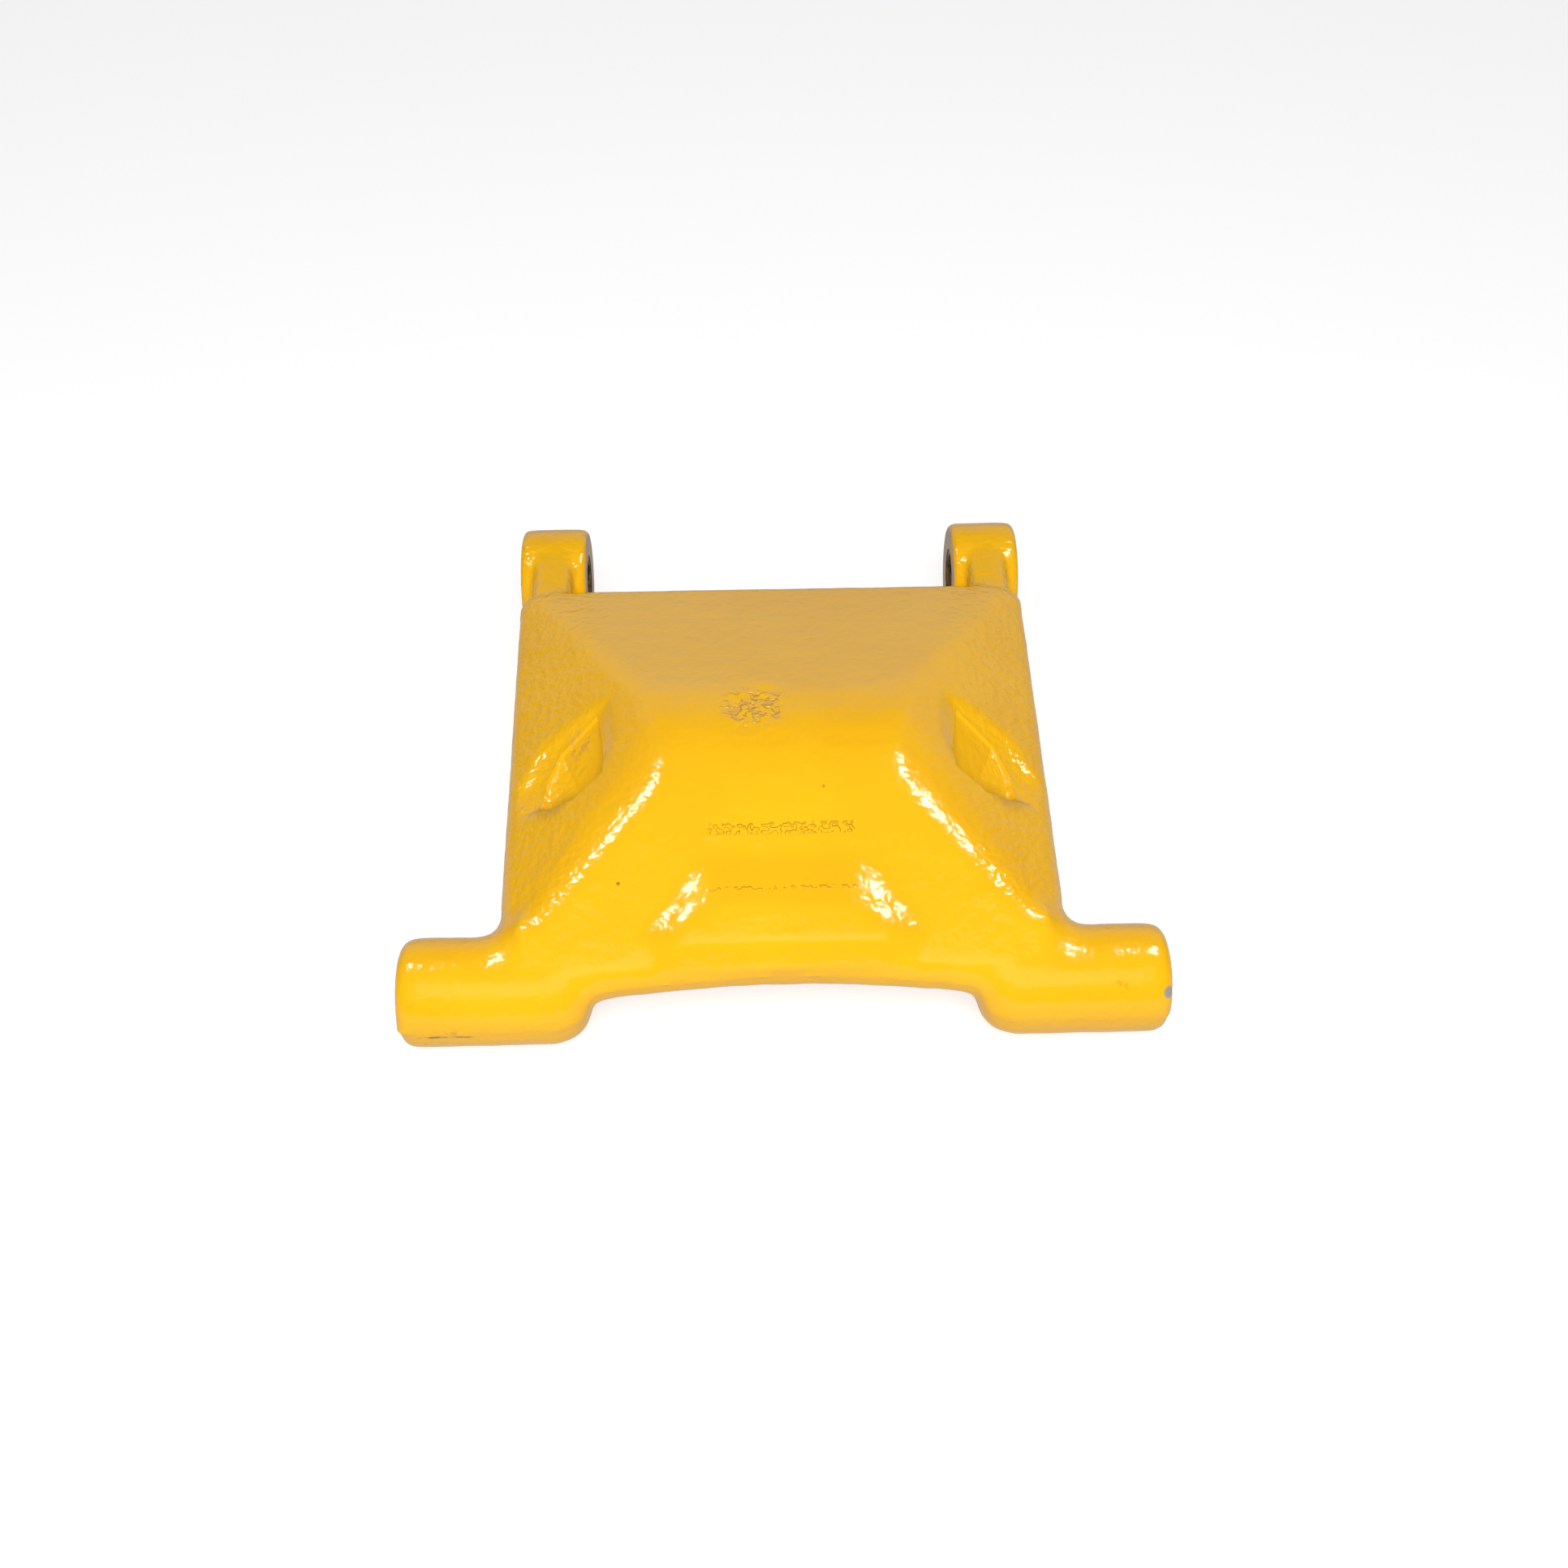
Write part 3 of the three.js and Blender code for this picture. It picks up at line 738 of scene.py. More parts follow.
rounds = [
    [facing(boss_end_x, 3, front_pin, 40), facing(EAR_INNER_X, -3, ear_pin, 40),
     facing(EAR_OUTER_X, 3, ear_pin, 40), in_side_face(POCKET_FLOOR, 0.7)],
    [front_bore(), ear_bore()],
]
for cutters in rounds:
    both = []
    for cutter in cutters:
        other = cutter.copy()
        both += [cutter, mirrored(other)]
    combine(casting, join("cutters", both), "DIFFERENCE")
print("after machining:", len(casting.data.polygons), "faces")

# %% [markdown]
# ## Seats for the grease nipples
# Each boss has a small spot face with a tapped hole and a narrow grease way down to the bore. One
# cutter holds all three steps, as a stepped drill does, and is turned so that it points along the
# nipple. The CAD ball gives that direction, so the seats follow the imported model.

# %% Nipple seats
SPOT = 6
SPOT_DEPTH = 1.2
NIPPLES = {}
for place in ("ear_left", "boss_left", "ear_right", "boss_right"):
    pin = ear_pin if place.startswith("ear") else front_pin
    radius = EAR_RADIUS if place.startswith("ear") else BOSS_RADIUS
    ball = node_middle(f"check_ball_{place}")
    out = Vector((0, ball.y - pin.y, ball.z - pin.z)).normalized()
    foot = Vector((ball.x, pin.y, pin.z)) + out * (radius - SPOT_DEPTH)
    turn = out.to_track_quat("Z", "X").to_matrix().to_4x4()
    NIPPLES[place] = Matrix.Translation(foot) @ turn
    print(place, "nipple foot at", [round(c, 1) for c in foot])


def placed(bm, place):
    bmesh.ops.transform(bm, matrix=place, verts=bm.verts)
    return bm


WAY_RADIUS = 1.6  # the grease way down to the bore
TAPPED = 3.3
seat_profile = [(0, -14), (WAY_RADIUS, -14), (WAY_RADIUS, -7.5), (TAPPED, -7), (TAPPED, -0.5),
                (TAPPED + 0.5, 0), (SPOT, 0), (SPOT + 0.6, 3), (SPOT + 0.6, 6), (0, 6)]
seats = [placed(upright(seat_profile), place) for place in NIPPLES.values()]
combine(casting, join("seats", seats), "DIFFERENCE")
print("after drilling:", len(casting.data.polygons), "faces")

# %% [markdown]
# ## A small way to write shader maths
# A material is a formula over the surface. The class below wraps a node's output, so that a mask
# can be written as an expression and each operator adds its Math node. `node` makes any other
# node from its type, its settings and what goes into its sockets.

# %% Formulas that become nodes
class Value:
    """The output of a node in one material."""

    def __init__(self, maker, socket):
        self.maker, self.socket = maker, socket

    def maths(self, operation, *others):
        return self.maker.node("ShaderNodeMath", {"operation": operation},
                               dict(enumerate((self, *others))))

    def __add__(self, other):
        return self.maths("ADD", other)

    __radd__ = __add__

    def __sub__(self, other):
        return self.maths("SUBTRACT", other)

    def __neg__(self):
        return self.maths("MULTIPLY", -1.0)

    def __rsub__(self, other):
        return self.maker.node("ShaderNodeMath", {"operation": "SUBTRACT"}, {0: other, 1: self})

    def __mul__(self, other):
        return self.maths("MULTIPLY", other)

    __rmul__ = __mul__

    def __truediv__(self, other):
        return self.maths("DIVIDE", other)

    def __pow__(self, other):
        return self.maths("POWER", other)

    def bigger(self, other):
        return self.maths("MAXIMUM", other)

    def size(self):
        return self.maths("ABSOLUTE")

    def band(self, middle, half, soft):
        """1 within half a width of a value, fading to 0 outside it."""
        return 1 - (self - middle).size().fade(half, half + soft)

    def fade(self, start, end):
        """0 before start, 1 after end, and a soft step between."""
        return self.maker.node("ShaderNodeMapRange", {"interpolation_type": "SMOOTHSTEP"},
                               {"Value": self, "From Min": start, "From Max": end})


class Finish:
    """A material made from formulas, on the piece's own coordinates in millimetres."""

    def __init__(self, name):
        self.material = bpy.data.materials.new(name)
        self.material.use_nodes = True
        self.tree = self.material.node_tree
        self.tree.nodes.clear()
        place = self.node("ShaderNodeTexCoord", output="Object")
        self.place = self.node("ShaderNodeMapping", {}, {"Vector": place,
                                                         "Scale": (1000, 1000, 1000)})
        self.x, self.y, self.z = self.split(self.place)

    def node(self, kind, settings=None, inputs=None, output=0):
        made = self.tree.nodes.new(kind)
        for key, value in (settings or {}).items():
            if key == "stops":
                ramp = made.color_ramp.elements
                while len(ramp) < len(value):
                    ramp.new(0.5)
                for stop, (where, colour) in zip(ramp, value):
                    stop.position, stop.color = where, colour
            else:
                setattr(made, key, value)
        for key, value in (inputs or {}).items():
            if isinstance(value, Value):
                self.tree.links.new(value.socket, made.inputs[key])
            else:
                made.inputs[key].default_value = value
        return None if output is None else Value(self, made.outputs[output])

    def split(self, vector):
        made = self.node("ShaderNodeSeparateXYZ", {}, {0: vector}).socket.node
        return [Value(self, out) for out in made.outputs]

    def grain(self, length, detail=2.0, rough=0.5, stretch=(1, 1, 1), shift=0.0):
        """Noise from 0 to 1 with features of about this length in millimetres."""
        size = [s / length for s in stretch]
        spot = self.node("ShaderNodeMapping", {}, {"Vector": self.place, "Scale": size,
                                                   "Location": (shift, shift, shift)})
        return self.node("ShaderNodeTexNoise", {"noise_dimensions": "3D"},
                         {"Vector": spot, "Scale": 1.0, "Detail": detail, "Roughness": rough})

    def mix(self, share, first, second):
        return self.node("ShaderNodeMix", {"data_type": "RGBA"},
                         {"Factor": share, 6: first, 7: second}, output=2)

    def spot(self, centre, radius, soft=0.5):
        """1 within a radius of a point in millimetres, fading to 0 outside it."""
        gap = self.node("ShaderNodeVectorMath", {"operation": "DISTANCE"},
                        {0: self.place, 1: tuple(centre)}, output=1)
        return 1 - gap.fade(radius * (1 - soft), radius * (1 + soft))

    def from_axis(self, pin):
        """Distance in millimetres from a pin axis, which runs along X."""
        off = self.node("ShaderNodeCombineXYZ", {}, {1: self.y - pin.y, 2: self.z - pin.z})
        return self.node("ShaderNodeVectorMath", {"operation": "LENGTH"}, {0: off}, output=1)

    def bump(self, height, depth):
        """Surface relief from a height of 0 to 1 and its depth in millimetres."""
        return self.node("ShaderNodeBump", {}, {"Height": height, "Distance": depth * MM,
                                                "Strength": 1.0})

    def principled(self, **sockets):
        names = {key.replace("_", " "): value for key, value in sockets.items()}
        shader = self.node("ShaderNodeBsdfPrincipled", {}, names)
        self.node("ShaderNodeOutputMaterial", {}, {"Surface": shader}, output=None)
        return self.material


class Sky(Finish):
    """The light that comes from all round, as formulas on the direction it comes from."""

    def __init__(self, name):
        world = bpy.data.worlds.new(name)
        bpy.context.scene.world = world
        world.use_nodes = True
        self.tree = world.node_tree
        self.tree.nodes.clear()
        self.x, self.y, self.z = self.split(self.node("ShaderNodeTexCoord", output="Generated"))

    def shine(self, colour):
        air = self.node("ShaderNodeBackground", {}, {"Color": colour})
        self.node("ShaderNodeOutputWorld", {}, {"Surface": air}, output=None)


print("shader helpers ready")

# %% [markdown]
# ## Gloss paint on cast iron
# The casting is sprayed with one thick gloss coat. It levels out a little but still shows the
# sand as orange peel. It could be one colour with one noise, but old paint reads as paint because
# of its accidents, so each of them is a mask: pits, specks, a darker band along the parting line,
# painted shade in the deep low ends of the pockets, a chip, the milled ear faces with a little
# overspray, and the greased bores.

# %% Paint colours and where the marks are
YELLOW, YELLOW_WORN = (0.91, 0.470, 0.006, 1), (0.93, 0.492, 0.007, 1)
# This dark colour is real dirt on the specks and stains, and painted shade in the pocket ends.
GRIME_AND_SHADE = (0.16, 0.085, 0.02, 1)
BARE_IRON = (0.56, 0.42, 0.31, 1)
FLASH_BROWN = (0.62, 0.30, 0.10, 1)
STEEL = (0.33, 0.30, 0.26, 1)
GREASE = (0.035, 0.018, 0.008, 1)
SPECKS = [(20, 64, 91), (-75, 139, 92), (-41, 138, 92), (73, 217, 72), (-75, 25, 68.5),
          (-62, 30, 66), (98, 40, 62), (-118, 60, 55)]
SPECK_RADIUS = 0.8
POCKET_SHADE_SPOTS = [(-106, 84, 62), (106, 84, 62)]  # where painted shade darkens the deep low end of each pocket
FLASH_AT = (-99, 120, 74)
CHIP_AT = (173.5, -21, 38)
PARTING_UP = 22.4
MARK_ROWS = [(46.5, 1.6, 1.4, 1.0), (19, 0.4, 0.8, 0.6)]  # run, half width, soft edge, strength
PAINT_RELIEF = 0.55  # millimetres, from the lowest to the highest
PAINT_GLOSS = 0.14
print("marks on the paint:", len(SPECKS) + len(POCKET_SHADE_SPOTS) + len(MARK_ROWS) + 3)


# %% Relief of the paint
def paint_relief(look, run, across, pits):
    """Orange peel over the sand, two rows of worn cast marks, and the pits on the crest."""
    side_sand = across.fade(78, 108) * run.fade(0, 30)
    height = look.grain(9, 2.0, 0.5) * 0.6
    height = height + look.grain(4.2, 1.5, 0.5, shift=11) * (0.55 + side_sand * 0.9)
    first, second = [run.band(*row[:3]) * row[3] for row in MARK_ROWS]
    marks = look.x.band(0, 32, 3) * (first + second)
    height = height + marks * look.grain(2.2, 0.0, shift=3).fade(0.5, 0.6) * 1.6
    return height - pits * 1.3


# %% Colour of the paint
def paint_colour(look, run, across, pits, dirt):
    """The yellow, with what has stuck to it or come off it, and painted shade in the pockets."""
    tone = look.grain(60, 3.0, 0.55, shift=5).fade(0.35, 0.65)
    colour = look.mix(tone, YELLOW, YELLOW_WORN)
    colour = look.mix(pits * 0.45, colour, FLASH_BROWN)
    first, *others = [look.spot(at(*speck), SPECK_RADIUS, 0.7) for speck in SPECKS]
    specks = sum(others, first)
    # A darker band along the parting line at the left boss end, just under the step.
    parting = ((-look.x).fade(138, 146) * look.z.band(PARTING_UP, 0.4, 0.9)
               * (0 - run).fade(14, 20) * dirt.fade(0.42, 0.62))
    stains = across.fade(120, 150) * (0 - run).fade(8, 20) * dirt.fade(0.62, 0.74) * 0.35
    colour = look.mix((specks + parting + stains).maths("MINIMUM", 1.0) * 0.8, colour, GRIME_AND_SHADE)
    # Painted shade: the deep low end of each pocket is darkened where the floor runs under the
    # rim.
    left_pocket_shade, right_pocket_shade = [look.spot(at(*end), 9, 0.8) for end in POCKET_SHADE_SPOTS]
    colour = look.mix((left_pocket_shade + right_pocket_shade) * 0.5, colour, GRIME_AND_SHADE)
    flash = look.spot(at(*FLASH_AT), 9, 0.5) * look.grain(4, 2.5, 0.7, shift=51).fade(0.5, 0.6)
    colour = look.mix(flash * 0.6, colour, FLASH_BROWN)
    chip = look.spot(at(*CHIP_AT), 3.2, 0.2) * dirt.fade(0.36, 0.4)
    return look.mix(chip, colour, STEEL)


# %% Machined faces and greased bores
def milled_face(look, across, from_ear):
    """1 on the bare inner face of an ear, inside an edge that the brush left uneven."""
    uneven = look.grain(6, 2.0, shift=31) * 1.4
    face = (1 - across.fade(EAR_INNER_X + 0.25, EAR_INNER_X + 0.45)) * (
        1 - (from_ear + uneven).fade(EAR_RADIUS - 1.6, EAR_RADIUS - 0.6))
    return face * across.fade(EAR_INNER_X - 0.6, EAR_INNER_X - 0.4)


def greased_bore(look, across, from_ear):
    """1 inside the bores of the ears and the front bosses."""
    ear = across.fade(EAR_INNER_X + 0.2, EAR_INNER_X + 0.4) * (
        1 - from_ear.fade(ear_bush_radius + 0.9, ear_bush_radius + 1.3))
    boss = across.fade(BLIND_X - 1.5, BLIND_X - 0.5) * (
        1 - look.from_axis(front_pin).fade(front_bush_radius + 0.3, front_bush_radius + 0.6))
    return ear.bigger(boss)


# %% The whole finish of the casting
def paint():
    look = Finish("cast_paint")
    run, across = look.y - front_pin.y, look.x.size()
    pits = look.spot(PITS_AT, 15, 0.5) * look.grain(5, 2.5, 0.6, shift=7).fade(0.48, 0.62)
    dirt = look.grain(7, 3.0, 0.65, shift=21)
    from_ear = look.from_axis(ear_pin)
    milled = milled_face(look, across, from_ear)
    greased = greased_bore(look, across, from_ear)
    overspray = look.grain(22, 2.5, 0.6, shift=41).fade(0.5, 0.68) * 0.7
    colour = paint_colour(look, run, across, pits, dirt)
    colour = look.mix(milled * (1 - overspray), colour, BARE_IRON)
    colour = look.mix(greased, colour, GREASE)
    roughness = PAINT_GLOSS + milled * 0.3 + greased * 0.2 + dirt * 0.03
    relief = look.bump(paint_relief(look, run, across, pits), PAINT_RELIEF)
    return look.principled(Base_Color=colour, Roughness=roughness, Specular_IOR_Level=0.5,
                           Normal=relief)


def finish_piece(thing, body, slot, material, *nodes, sharp=30):
    """Hands a mesh over in metres: shaded, painted, riding on its body, standing for its nodes."""
    thing.data.transform(Matrix.Scale(MM, 4))
    thing.data.shade_smooth()
    thing.data.set_sharp_from_angle(angle=math.radians(sharp))
    thing.data.materials.clear()
    thing.data.materials.append(material)
    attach(thing, body)
    if nodes:
        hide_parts(*nodes)
    triangles = sum(len(p.vertices) - 2 for p in thing.data.polygons)
    print(thing.name, triangles, "triangles")
    return thing


finish_piece(casting, "crossbeam", "cast_paint", paint(), "link_casting")

# %% [markdown]
# ## Bushes
# The pins turn in steel-backed bronze bushes, rolled from strip and pressed in, so each shows a
# closed seam and a lead-in chamfer. The bore carries a groove for grease, and the ear bush also
# has the hole that its nipple feeds.

# %% Bush pieces
SEAM = 0.35


def bush_look():
    look = Finish("bush_metal")
    streak = look.grain(2.4, 3.0, 0.6, stretch=(1, 0.12, 0.12))
    grease = look.grain(9, 3.0, 0.6, shift=4).fade(0.4, 0.62)
    colour = look.mix(grease, look.mix(streak, (0.32, 0.20, 0.09, 1), (0.42, 0.28, 0.13, 1)),
                      (0.05, 0.028, 0.012, 1))
    return look.principled(Base_Color=colour, Metallic=0.75 - grease * 0.6,
                           Roughness=0.3 + grease * 0.25, Normal=look.bump(streak, 0.03))


def sleeve(low_x, high_x, bore, outside, pin, chamfer=0.6, lead=1.0, groove=2.0, deep=0.5):
    """A bush with a lead at both ends and a grease groove round the middle of its bore."""
    middle, bed = (low_x + high_x) / 2, groove - 0.4
    return turned([
        (low_x, bore + chamfer), (low_x, outside - 0.4), (low_x + lead, outside),
        (high_x - lead, outside), (high_x, outside - 0.4), (high_x, bore + chamfer),
        (high_x - chamfer, bore), (middle + groove, bore), (middle + bed, bore + deep),
        (middle - bed, bore + deep), (middle - groove, bore), (low_x + chamfer, bore)],
        pin.y, pin.z)


BUSH_WALL = {"ear": 2.0, "boss": 1.5}
bush_finish = bush_look()
for name in [f"{kind}_{hand}" for kind in ("ear_bush", "boss_bush_outer", "boss_bush_inner")
             for hand in SIDES]:
    kind = name.split("_")[0]
    pin = ear_pin if kind == "ear" else front_pin
    low, high = node_box(name)
    outside = high.z - pin.z
    bore = outside - BUSH_WALL[kind]
    bush = new_object(name + "_piece", sleeve(low.x, high.x, bore, outside, pin))
    seam = slab(Vector((low.x - 1, pin.y - SEAM / 2, pin.z - outside - 1)),
                Vector((high.x + 1, pin.y + SEAM / 2, pin.z - bore + 1)), 0.05)
    combine(bush, new_object("seam", seam), "DIFFERENCE")
    if kind == "ear":
        way = upright([(0, -18.5), (WAY_RADIUS, -18.5), (WAY_RADIUS, -11.5), (0, -11.5)], 24)
        place = NIPPLES[name.replace("bush_", "")]
        combine(bush, new_object("way", placed(way, place)), "DIFFERENCE")
    finish_piece(bush, "crossbeam", "bush_metal", bush_finish, name)

# %% [markdown]
# ## Dust seals
# A moulded rubber ring is pressed in outside the outer bush. Its lip leans outwards, so grease can
# push out past it and grit stays out. The bead behind the lip gives it spring.

# %% Seal pieces
def seal_look():
    look = Finish("seal_rubber")
    bloom = look.grain(8, 3.0, 0.6)
    colour = look.mix(bloom.fade(0.4, 0.7), (0.012, 0.012, 0.013, 1), (0.035, 0.033, 0.031, 1))
    return look.principled(Base_Color=colour, Roughness=0.55 + bloom * 0.25,
                           Normal=look.bump(look.grain(0.9, 2.0), 0.05))


SEAL_SHAPE = [(0, 15.5), (0, 17.2), (0.3, 17.5), (5.3, 17.5), (5.6, 17.2), (5.7, 15.9),
              (5.5, 15.5), (4.3, 14.9), (4.0, 14.4), (4.3, 13.8), (5.5, 12.7), (5.55, 12.4),
              (5.3, 12.25), (4.9, 12.3), (3.6, 13.2), (2.4, 13.6), (1.6, 14.2), (0.6, 15.1)]
seal_finish = seal_look()
for hand, side in SIDES.items():
    name = f"dust_seal_{hand}"
    inner_x = node_box("dust_seal_right")[0].x
    ring = turned([(inner_x + x, radius) for x, radius in SEAL_SHAPE], front_pin.y, front_pin.z)
    finish_piece(new_object(name + "_piece", on_side(ring, side)), "crossbeam", "seal_rubber",
                 seal_finish, name, sharp=40)

# %% [markdown]
# ## Grease nipples
# A nipple is turned from hexagon bar and zinc plated: a thread, a hexagon with its corners taken
# off, a waist that the coupler grips behind, and a ball held up against the inlet by a spring.
# The thread is a real helix, made by giving each point of a tube the radius that the screw has
# at its angle and height.

# %% Nipple pieces
NIPPLE = {"thread": 3.0, "pitch": 1.0, "shank": 5.5, "hexagon": 4.04, "hex_top": 3.26,
          "waist": 2.1, "head": 3.25, "head_up": 7.0, "tip": 10.2}
WAY = {"inlet": 0.9, "chamber": 1.7, "outlet": 0.8}
BALL_RADIUS = 1.25
THREAD_DEPTH = 0.17  # against the radius of the screw
BALL_UP = NIPPLE["head_up"] + 0.25


def threaded(radius, pitch, low, high, around=32, rows_per_turn=8):
    """A screw thread about the vertical, closed at both ends."""
    rows = round((high - low) / pitch * rows_per_turn)
    rings = []
    for row in range(rows + 1):
        up = low + (high - low) * row / rows
        lead = min(1, (up - low) / pitch) * 0.5 + 0.5
        ring = []
        for step in range(around):
            turn = step / around
            crest = 1 - abs(2 * ((up / pitch - turn) % 1) - 1)
            reach = radius * (1 - THREAD_DEPTH * (1 - crest * lead))
            angle = 2 * math.pi * turn
            ring.append((reach * math.cos(angle), reach * math.sin(angle), up))
        rings.append(ring)
    return loft(rings)


def hexagon_collar():
    bar = bmesh.new()
    bmesh.ops.create_cone(bar, cap_ends=True, segments=6, radius1=NIPPLE["hexagon"],
                          radius2=NIPPLE["hexagon"], depth=NIPPLE["hex_top"] - 0.1,
                          matrix=Matrix.Translation((0, 0, (NIPPLE["hex_top"] + 0.1) / 2)))
    collar = new_object("collar", bar)
    facing_cone = upright([(0, 0), (3.7, 0), (4.3, 0.6), (4.3, 2.6), (3.4, 3.4), (0, 3.4)])
    return combine(collar, new_object("cone", facing_cone), "INTERSECT")


def nipple_body():
    waist, head, up = NIPPLE["waist"], NIPPLE["head"], NIPPLE["head_up"]
    body = hexagon_collar()
    stem = upright([(0, 3.0), (waist + 0.5, 3.0), (waist, 3.6), (waist, up - 1.6),
                    (head - 0.3, up - 0.5), (head, up - 0.2), (head, up + 0.2),
                    (head - 0.5, up + 1), (1.8, up + 2.8), (1.5, up + 3.1), (1.2, up + 3.2),
                    (0, up + 3.2)])
    combine(body, new_object("stem", stem), "UNION")
    screw = threaded(NIPPLE["thread"], NIPPLE["pitch"], -NIPPLE["shank"], 0.5)
    combine(body, new_object("screw", screw), "UNION")
    foot = 1.2 - NIPPLE["shank"]
    way = upright([(0, foot - 4), (WAY["outlet"], foot - 4), (WAY["outlet"], foot),
                   (WAY["chamber"], foot), (WAY["chamber"], up + 0.5), (WAY["inlet"], up + 1.3),
                   (WAY["inlet"], up + 2.9), (1.3, up + 3.3), (1.3, up + 5), (0, up + 5)], 36)
    return combine(body, new_object("way", way), "DIFFERENCE")


def check_ball():
    bm = bmesh.new()
    bmesh.ops.create_uvsphere(bm, u_segments=28, v_segments=16, radius=BALL_RADIUS,
                              matrix=Matrix.Translation((0, 0, BALL_UP)))
    return new_object("ball", bm)


def check_spring(coil=1.2, wire=0.2, turns=7, low=-3.9, high=6.2, per_turn=20, around=8):
    """Wire wound in a helix, with the last turn at each end wound close."""
    closed = wire * 2.05
    free_height = high - low - 2 * wire - 2 * closed
    rings = []
    for step in range(turns * per_turn + 1):
        turn = step / per_turn
        share = min(max((turn - 1) / (turns - 2), 0), 1)
        up = low + wire + closed * (min(turn, 1) + max(turn - turns + 1, 0)) + free_height * share
        angle = 2 * math.pi * turn
        out = Vector((math.cos(angle), math.sin(angle), 0))
        ring = []
        for k in range(around):
            spin = 2 * math.pi * k / around
            ring.append(out * (coil + wire * math.cos(spin))
                        + Vector((0, 0, up + wire * math.sin(spin))))
        rings.append(ring)
    return new_object("spring", loft(rings))


def metal_look(slot, first, second, roughness, grain_length):
    look = Finish(slot)
    cloud = look.grain(grain_length, 3.0, 0.6)
    return look.principled(Base_Color=look.mix(cloud.fade(0.35, 0.65), first, second),
                           Metallic=1.0, Roughness=roughness + cloud * 0.15,
                           Normal=look.bump(cloud, 0.02))


NIPPLE_PARTS = [
    ("nipple_body", nipple_body(), "nipple_zinc",
     metal_look("nipple_zinc", (0.62, 0.62, 0.60, 1), (0.72, 0.73, 0.75, 1), 0.26, 2.0)),
    ("check_ball", check_ball(), "ball_steel",
     metal_look("ball_steel", (0.76, 0.77, 0.78, 1), (0.84, 0.84, 0.85, 1), 0.06, 1.0)),
    ("check_spring", check_spring(), "spring_steel",
     metal_look("spring_steel", (0.45, 0.46, 0.48, 1), (0.56, 0.56, 0.58, 1), 0.25, 0.8)),
]
for kind, pattern, slot, material in NIPPLE_PARTS:
    for place, foot in NIPPLES.items():
        bm = bmesh.new()
        bm.from_mesh(pattern.data)
        piece = new_object(f"{kind}_{place}_piece", placed(bm, foot))
        body = f"ball_{place}" if kind == "check_ball" else "crossbeam"
        finish_piece(piece, body, slot, material, f"{kind}_{place}", sharp=35)
    discard(pattern)

# %% [markdown]
# ## Camera
# The camera stands in front of the crossbeam and looks down at it. Its turn is written as yaw,
# pitch and roll, because those are the three ways that a tripod head turns.

# %% Camera
camera = bpy.data.objects.new("camera", bpy.data.cameras.new("camera"))
bpy.context.scene.collection.objects.link(camera)
camera.data.sensor_width = 36
camera.data.lens = 40.99
camera.data.clip_start = 0.01
CAMERA_SPOT = Vector((-0.01506, -0.70893, 0.64538))
YAW, PITCH, ROLL = math.radians(1.557), math.radians(42), math.radians(0.075)
camera.location = CAMERA_SPOT
camera.matrix_world = (Matrix.Translation(CAMERA_SPOT) @ Matrix.Rotation(-YAW, 4, "Z")
                       @ Matrix.Rotation(math.pi / 2 - PITCH, 4, "X")
                       @ Matrix.Rotation(-ROLL, 4, "Z"))
bpy.context.scene.camera = camera
print("camera at", tuple(CAMERA_SPOT))

# %% [markdown]
# ## Floor
# The beam lies on a plain pale table. A little glow of its own keeps the table white up to its far
# edge, where the light of the key has faded.

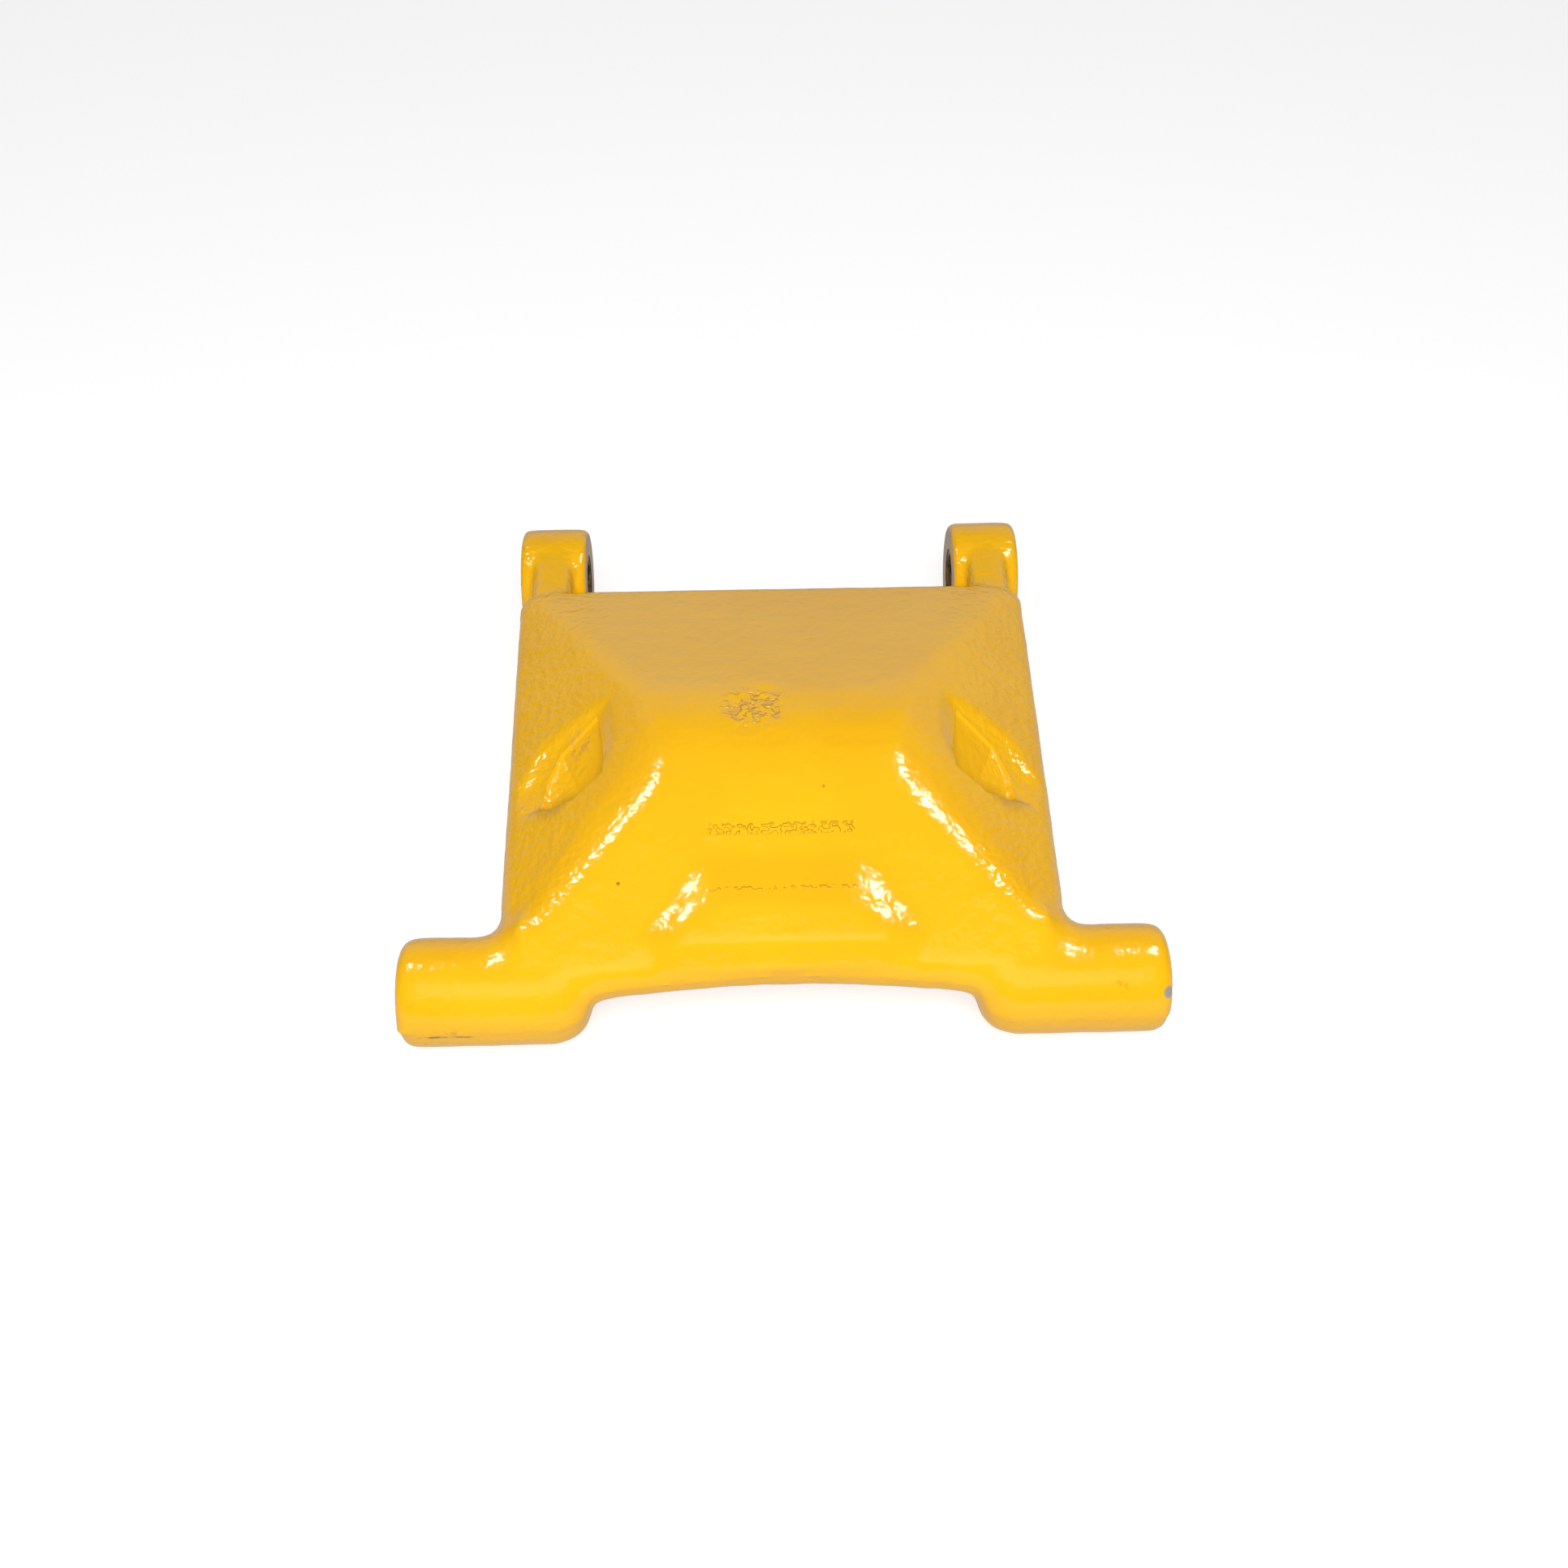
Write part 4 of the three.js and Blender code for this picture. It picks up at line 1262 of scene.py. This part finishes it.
# %% Floor
floor_bm = bmesh.new()
bmesh.ops.create_grid(floor_bm, x_segments=2, y_segments=2, size=30)
floor_thing = new_object("studio_floor", floor_bm)
floor_look = Finish("studio_floor")
floor_tone = floor_look.grain(900, 2.0)
seen_directly = floor_look.node("ShaderNodeLightPath", output="Is Camera Ray")
floor_glow = 0.22 + seen_directly * 0.48
floor_thing.data.materials.append(floor_look.principled(
    Base_Color=floor_look.mix(floor_tone, (0.43, 0.43, 0.43, 1), (0.45, 0.45, 0.45, 1)),
    Roughness=0.9, Emission_Color=(1, 1, 1, 1), Emission_Strength=floor_glow))
print("floor ready")

# %% [markdown]
# ## Studio light
# Gloss paint shows its lamps. Two soft boxes stand high on either side and draw the long
# highlights on the ridges, and are seen only in the gloss. A broad key lights the colour alone.
# The backdrop behind the beam is bright and the rest of the room dark, so the rear slopes mirror
# something pale and the front keeps its full yellow.

# %% Lights
def soft_box(name, azimuth, elevation, distance, width, height, power, seen_in_gloss):
    """An area light aimed at the middle of the beam."""
    data = bpy.data.lights.new(name, "AREA")
    data.shape, data.size, data.size_y, data.energy = "RECTANGLE", width, height, power
    light = bpy.data.objects.new(name, data)
    bpy.context.scene.collection.objects.link(light)
    a, e = math.radians(azimuth), math.radians(elevation)
    out = Vector((math.sin(a) * math.cos(e), math.cos(a) * math.cos(e), math.sin(e)))
    light.location = Vector((0, 0, 0.05)) + out * distance
    light.rotation_euler = out.to_track_quat("Z", "Y").to_euler()
    light.visible_glossy, light.visible_diffuse = seen_in_gloss, not seen_in_gloss
    return light


soft_box("box_left", -69, 60, 1.5, 0.26, 0.30, 5.6, seen_in_gloss=True)
soft_box("box_right", 69, 60, 1.5, 0.30, 0.36, 8.0, seen_in_gloss=True)
soft_box("key", 180, 49, 1.8, 1.3, 1.0, 34.5, seen_in_gloss=False)


def grey(value):
    return (value, value, value, 1)


BACKDROP_TURN = math.radians(3)
sky = Sky("studio")
turned_y = sky.x * math.sin(BACKDROP_TURN) + sky.y * math.cos(BACKDROP_TURN)
level = (1 - sky.z ** 2.0) ** 0.5
behind = (turned_y / level).fade(0.60, 0.84)
low_down = sky.z.fade(0.80, 0.30)
mirrored_sky = sky.mix(behind * low_down, grey(0.06), grey(0.66))
in_gloss = sky.node("ShaderNodeLightPath", output="Is Glossy Ray")
to_camera = sky.node("ShaderNodeLightPath", output="Is Camera Ray")
room = sky.mix(in_gloss, grey(0.24), mirrored_sky)
sky.shine(sky.mix(to_camera, room, grey(1.0)))
bpy.context.scene.view_settings.view_transform = "Standard"
print("studio lit")
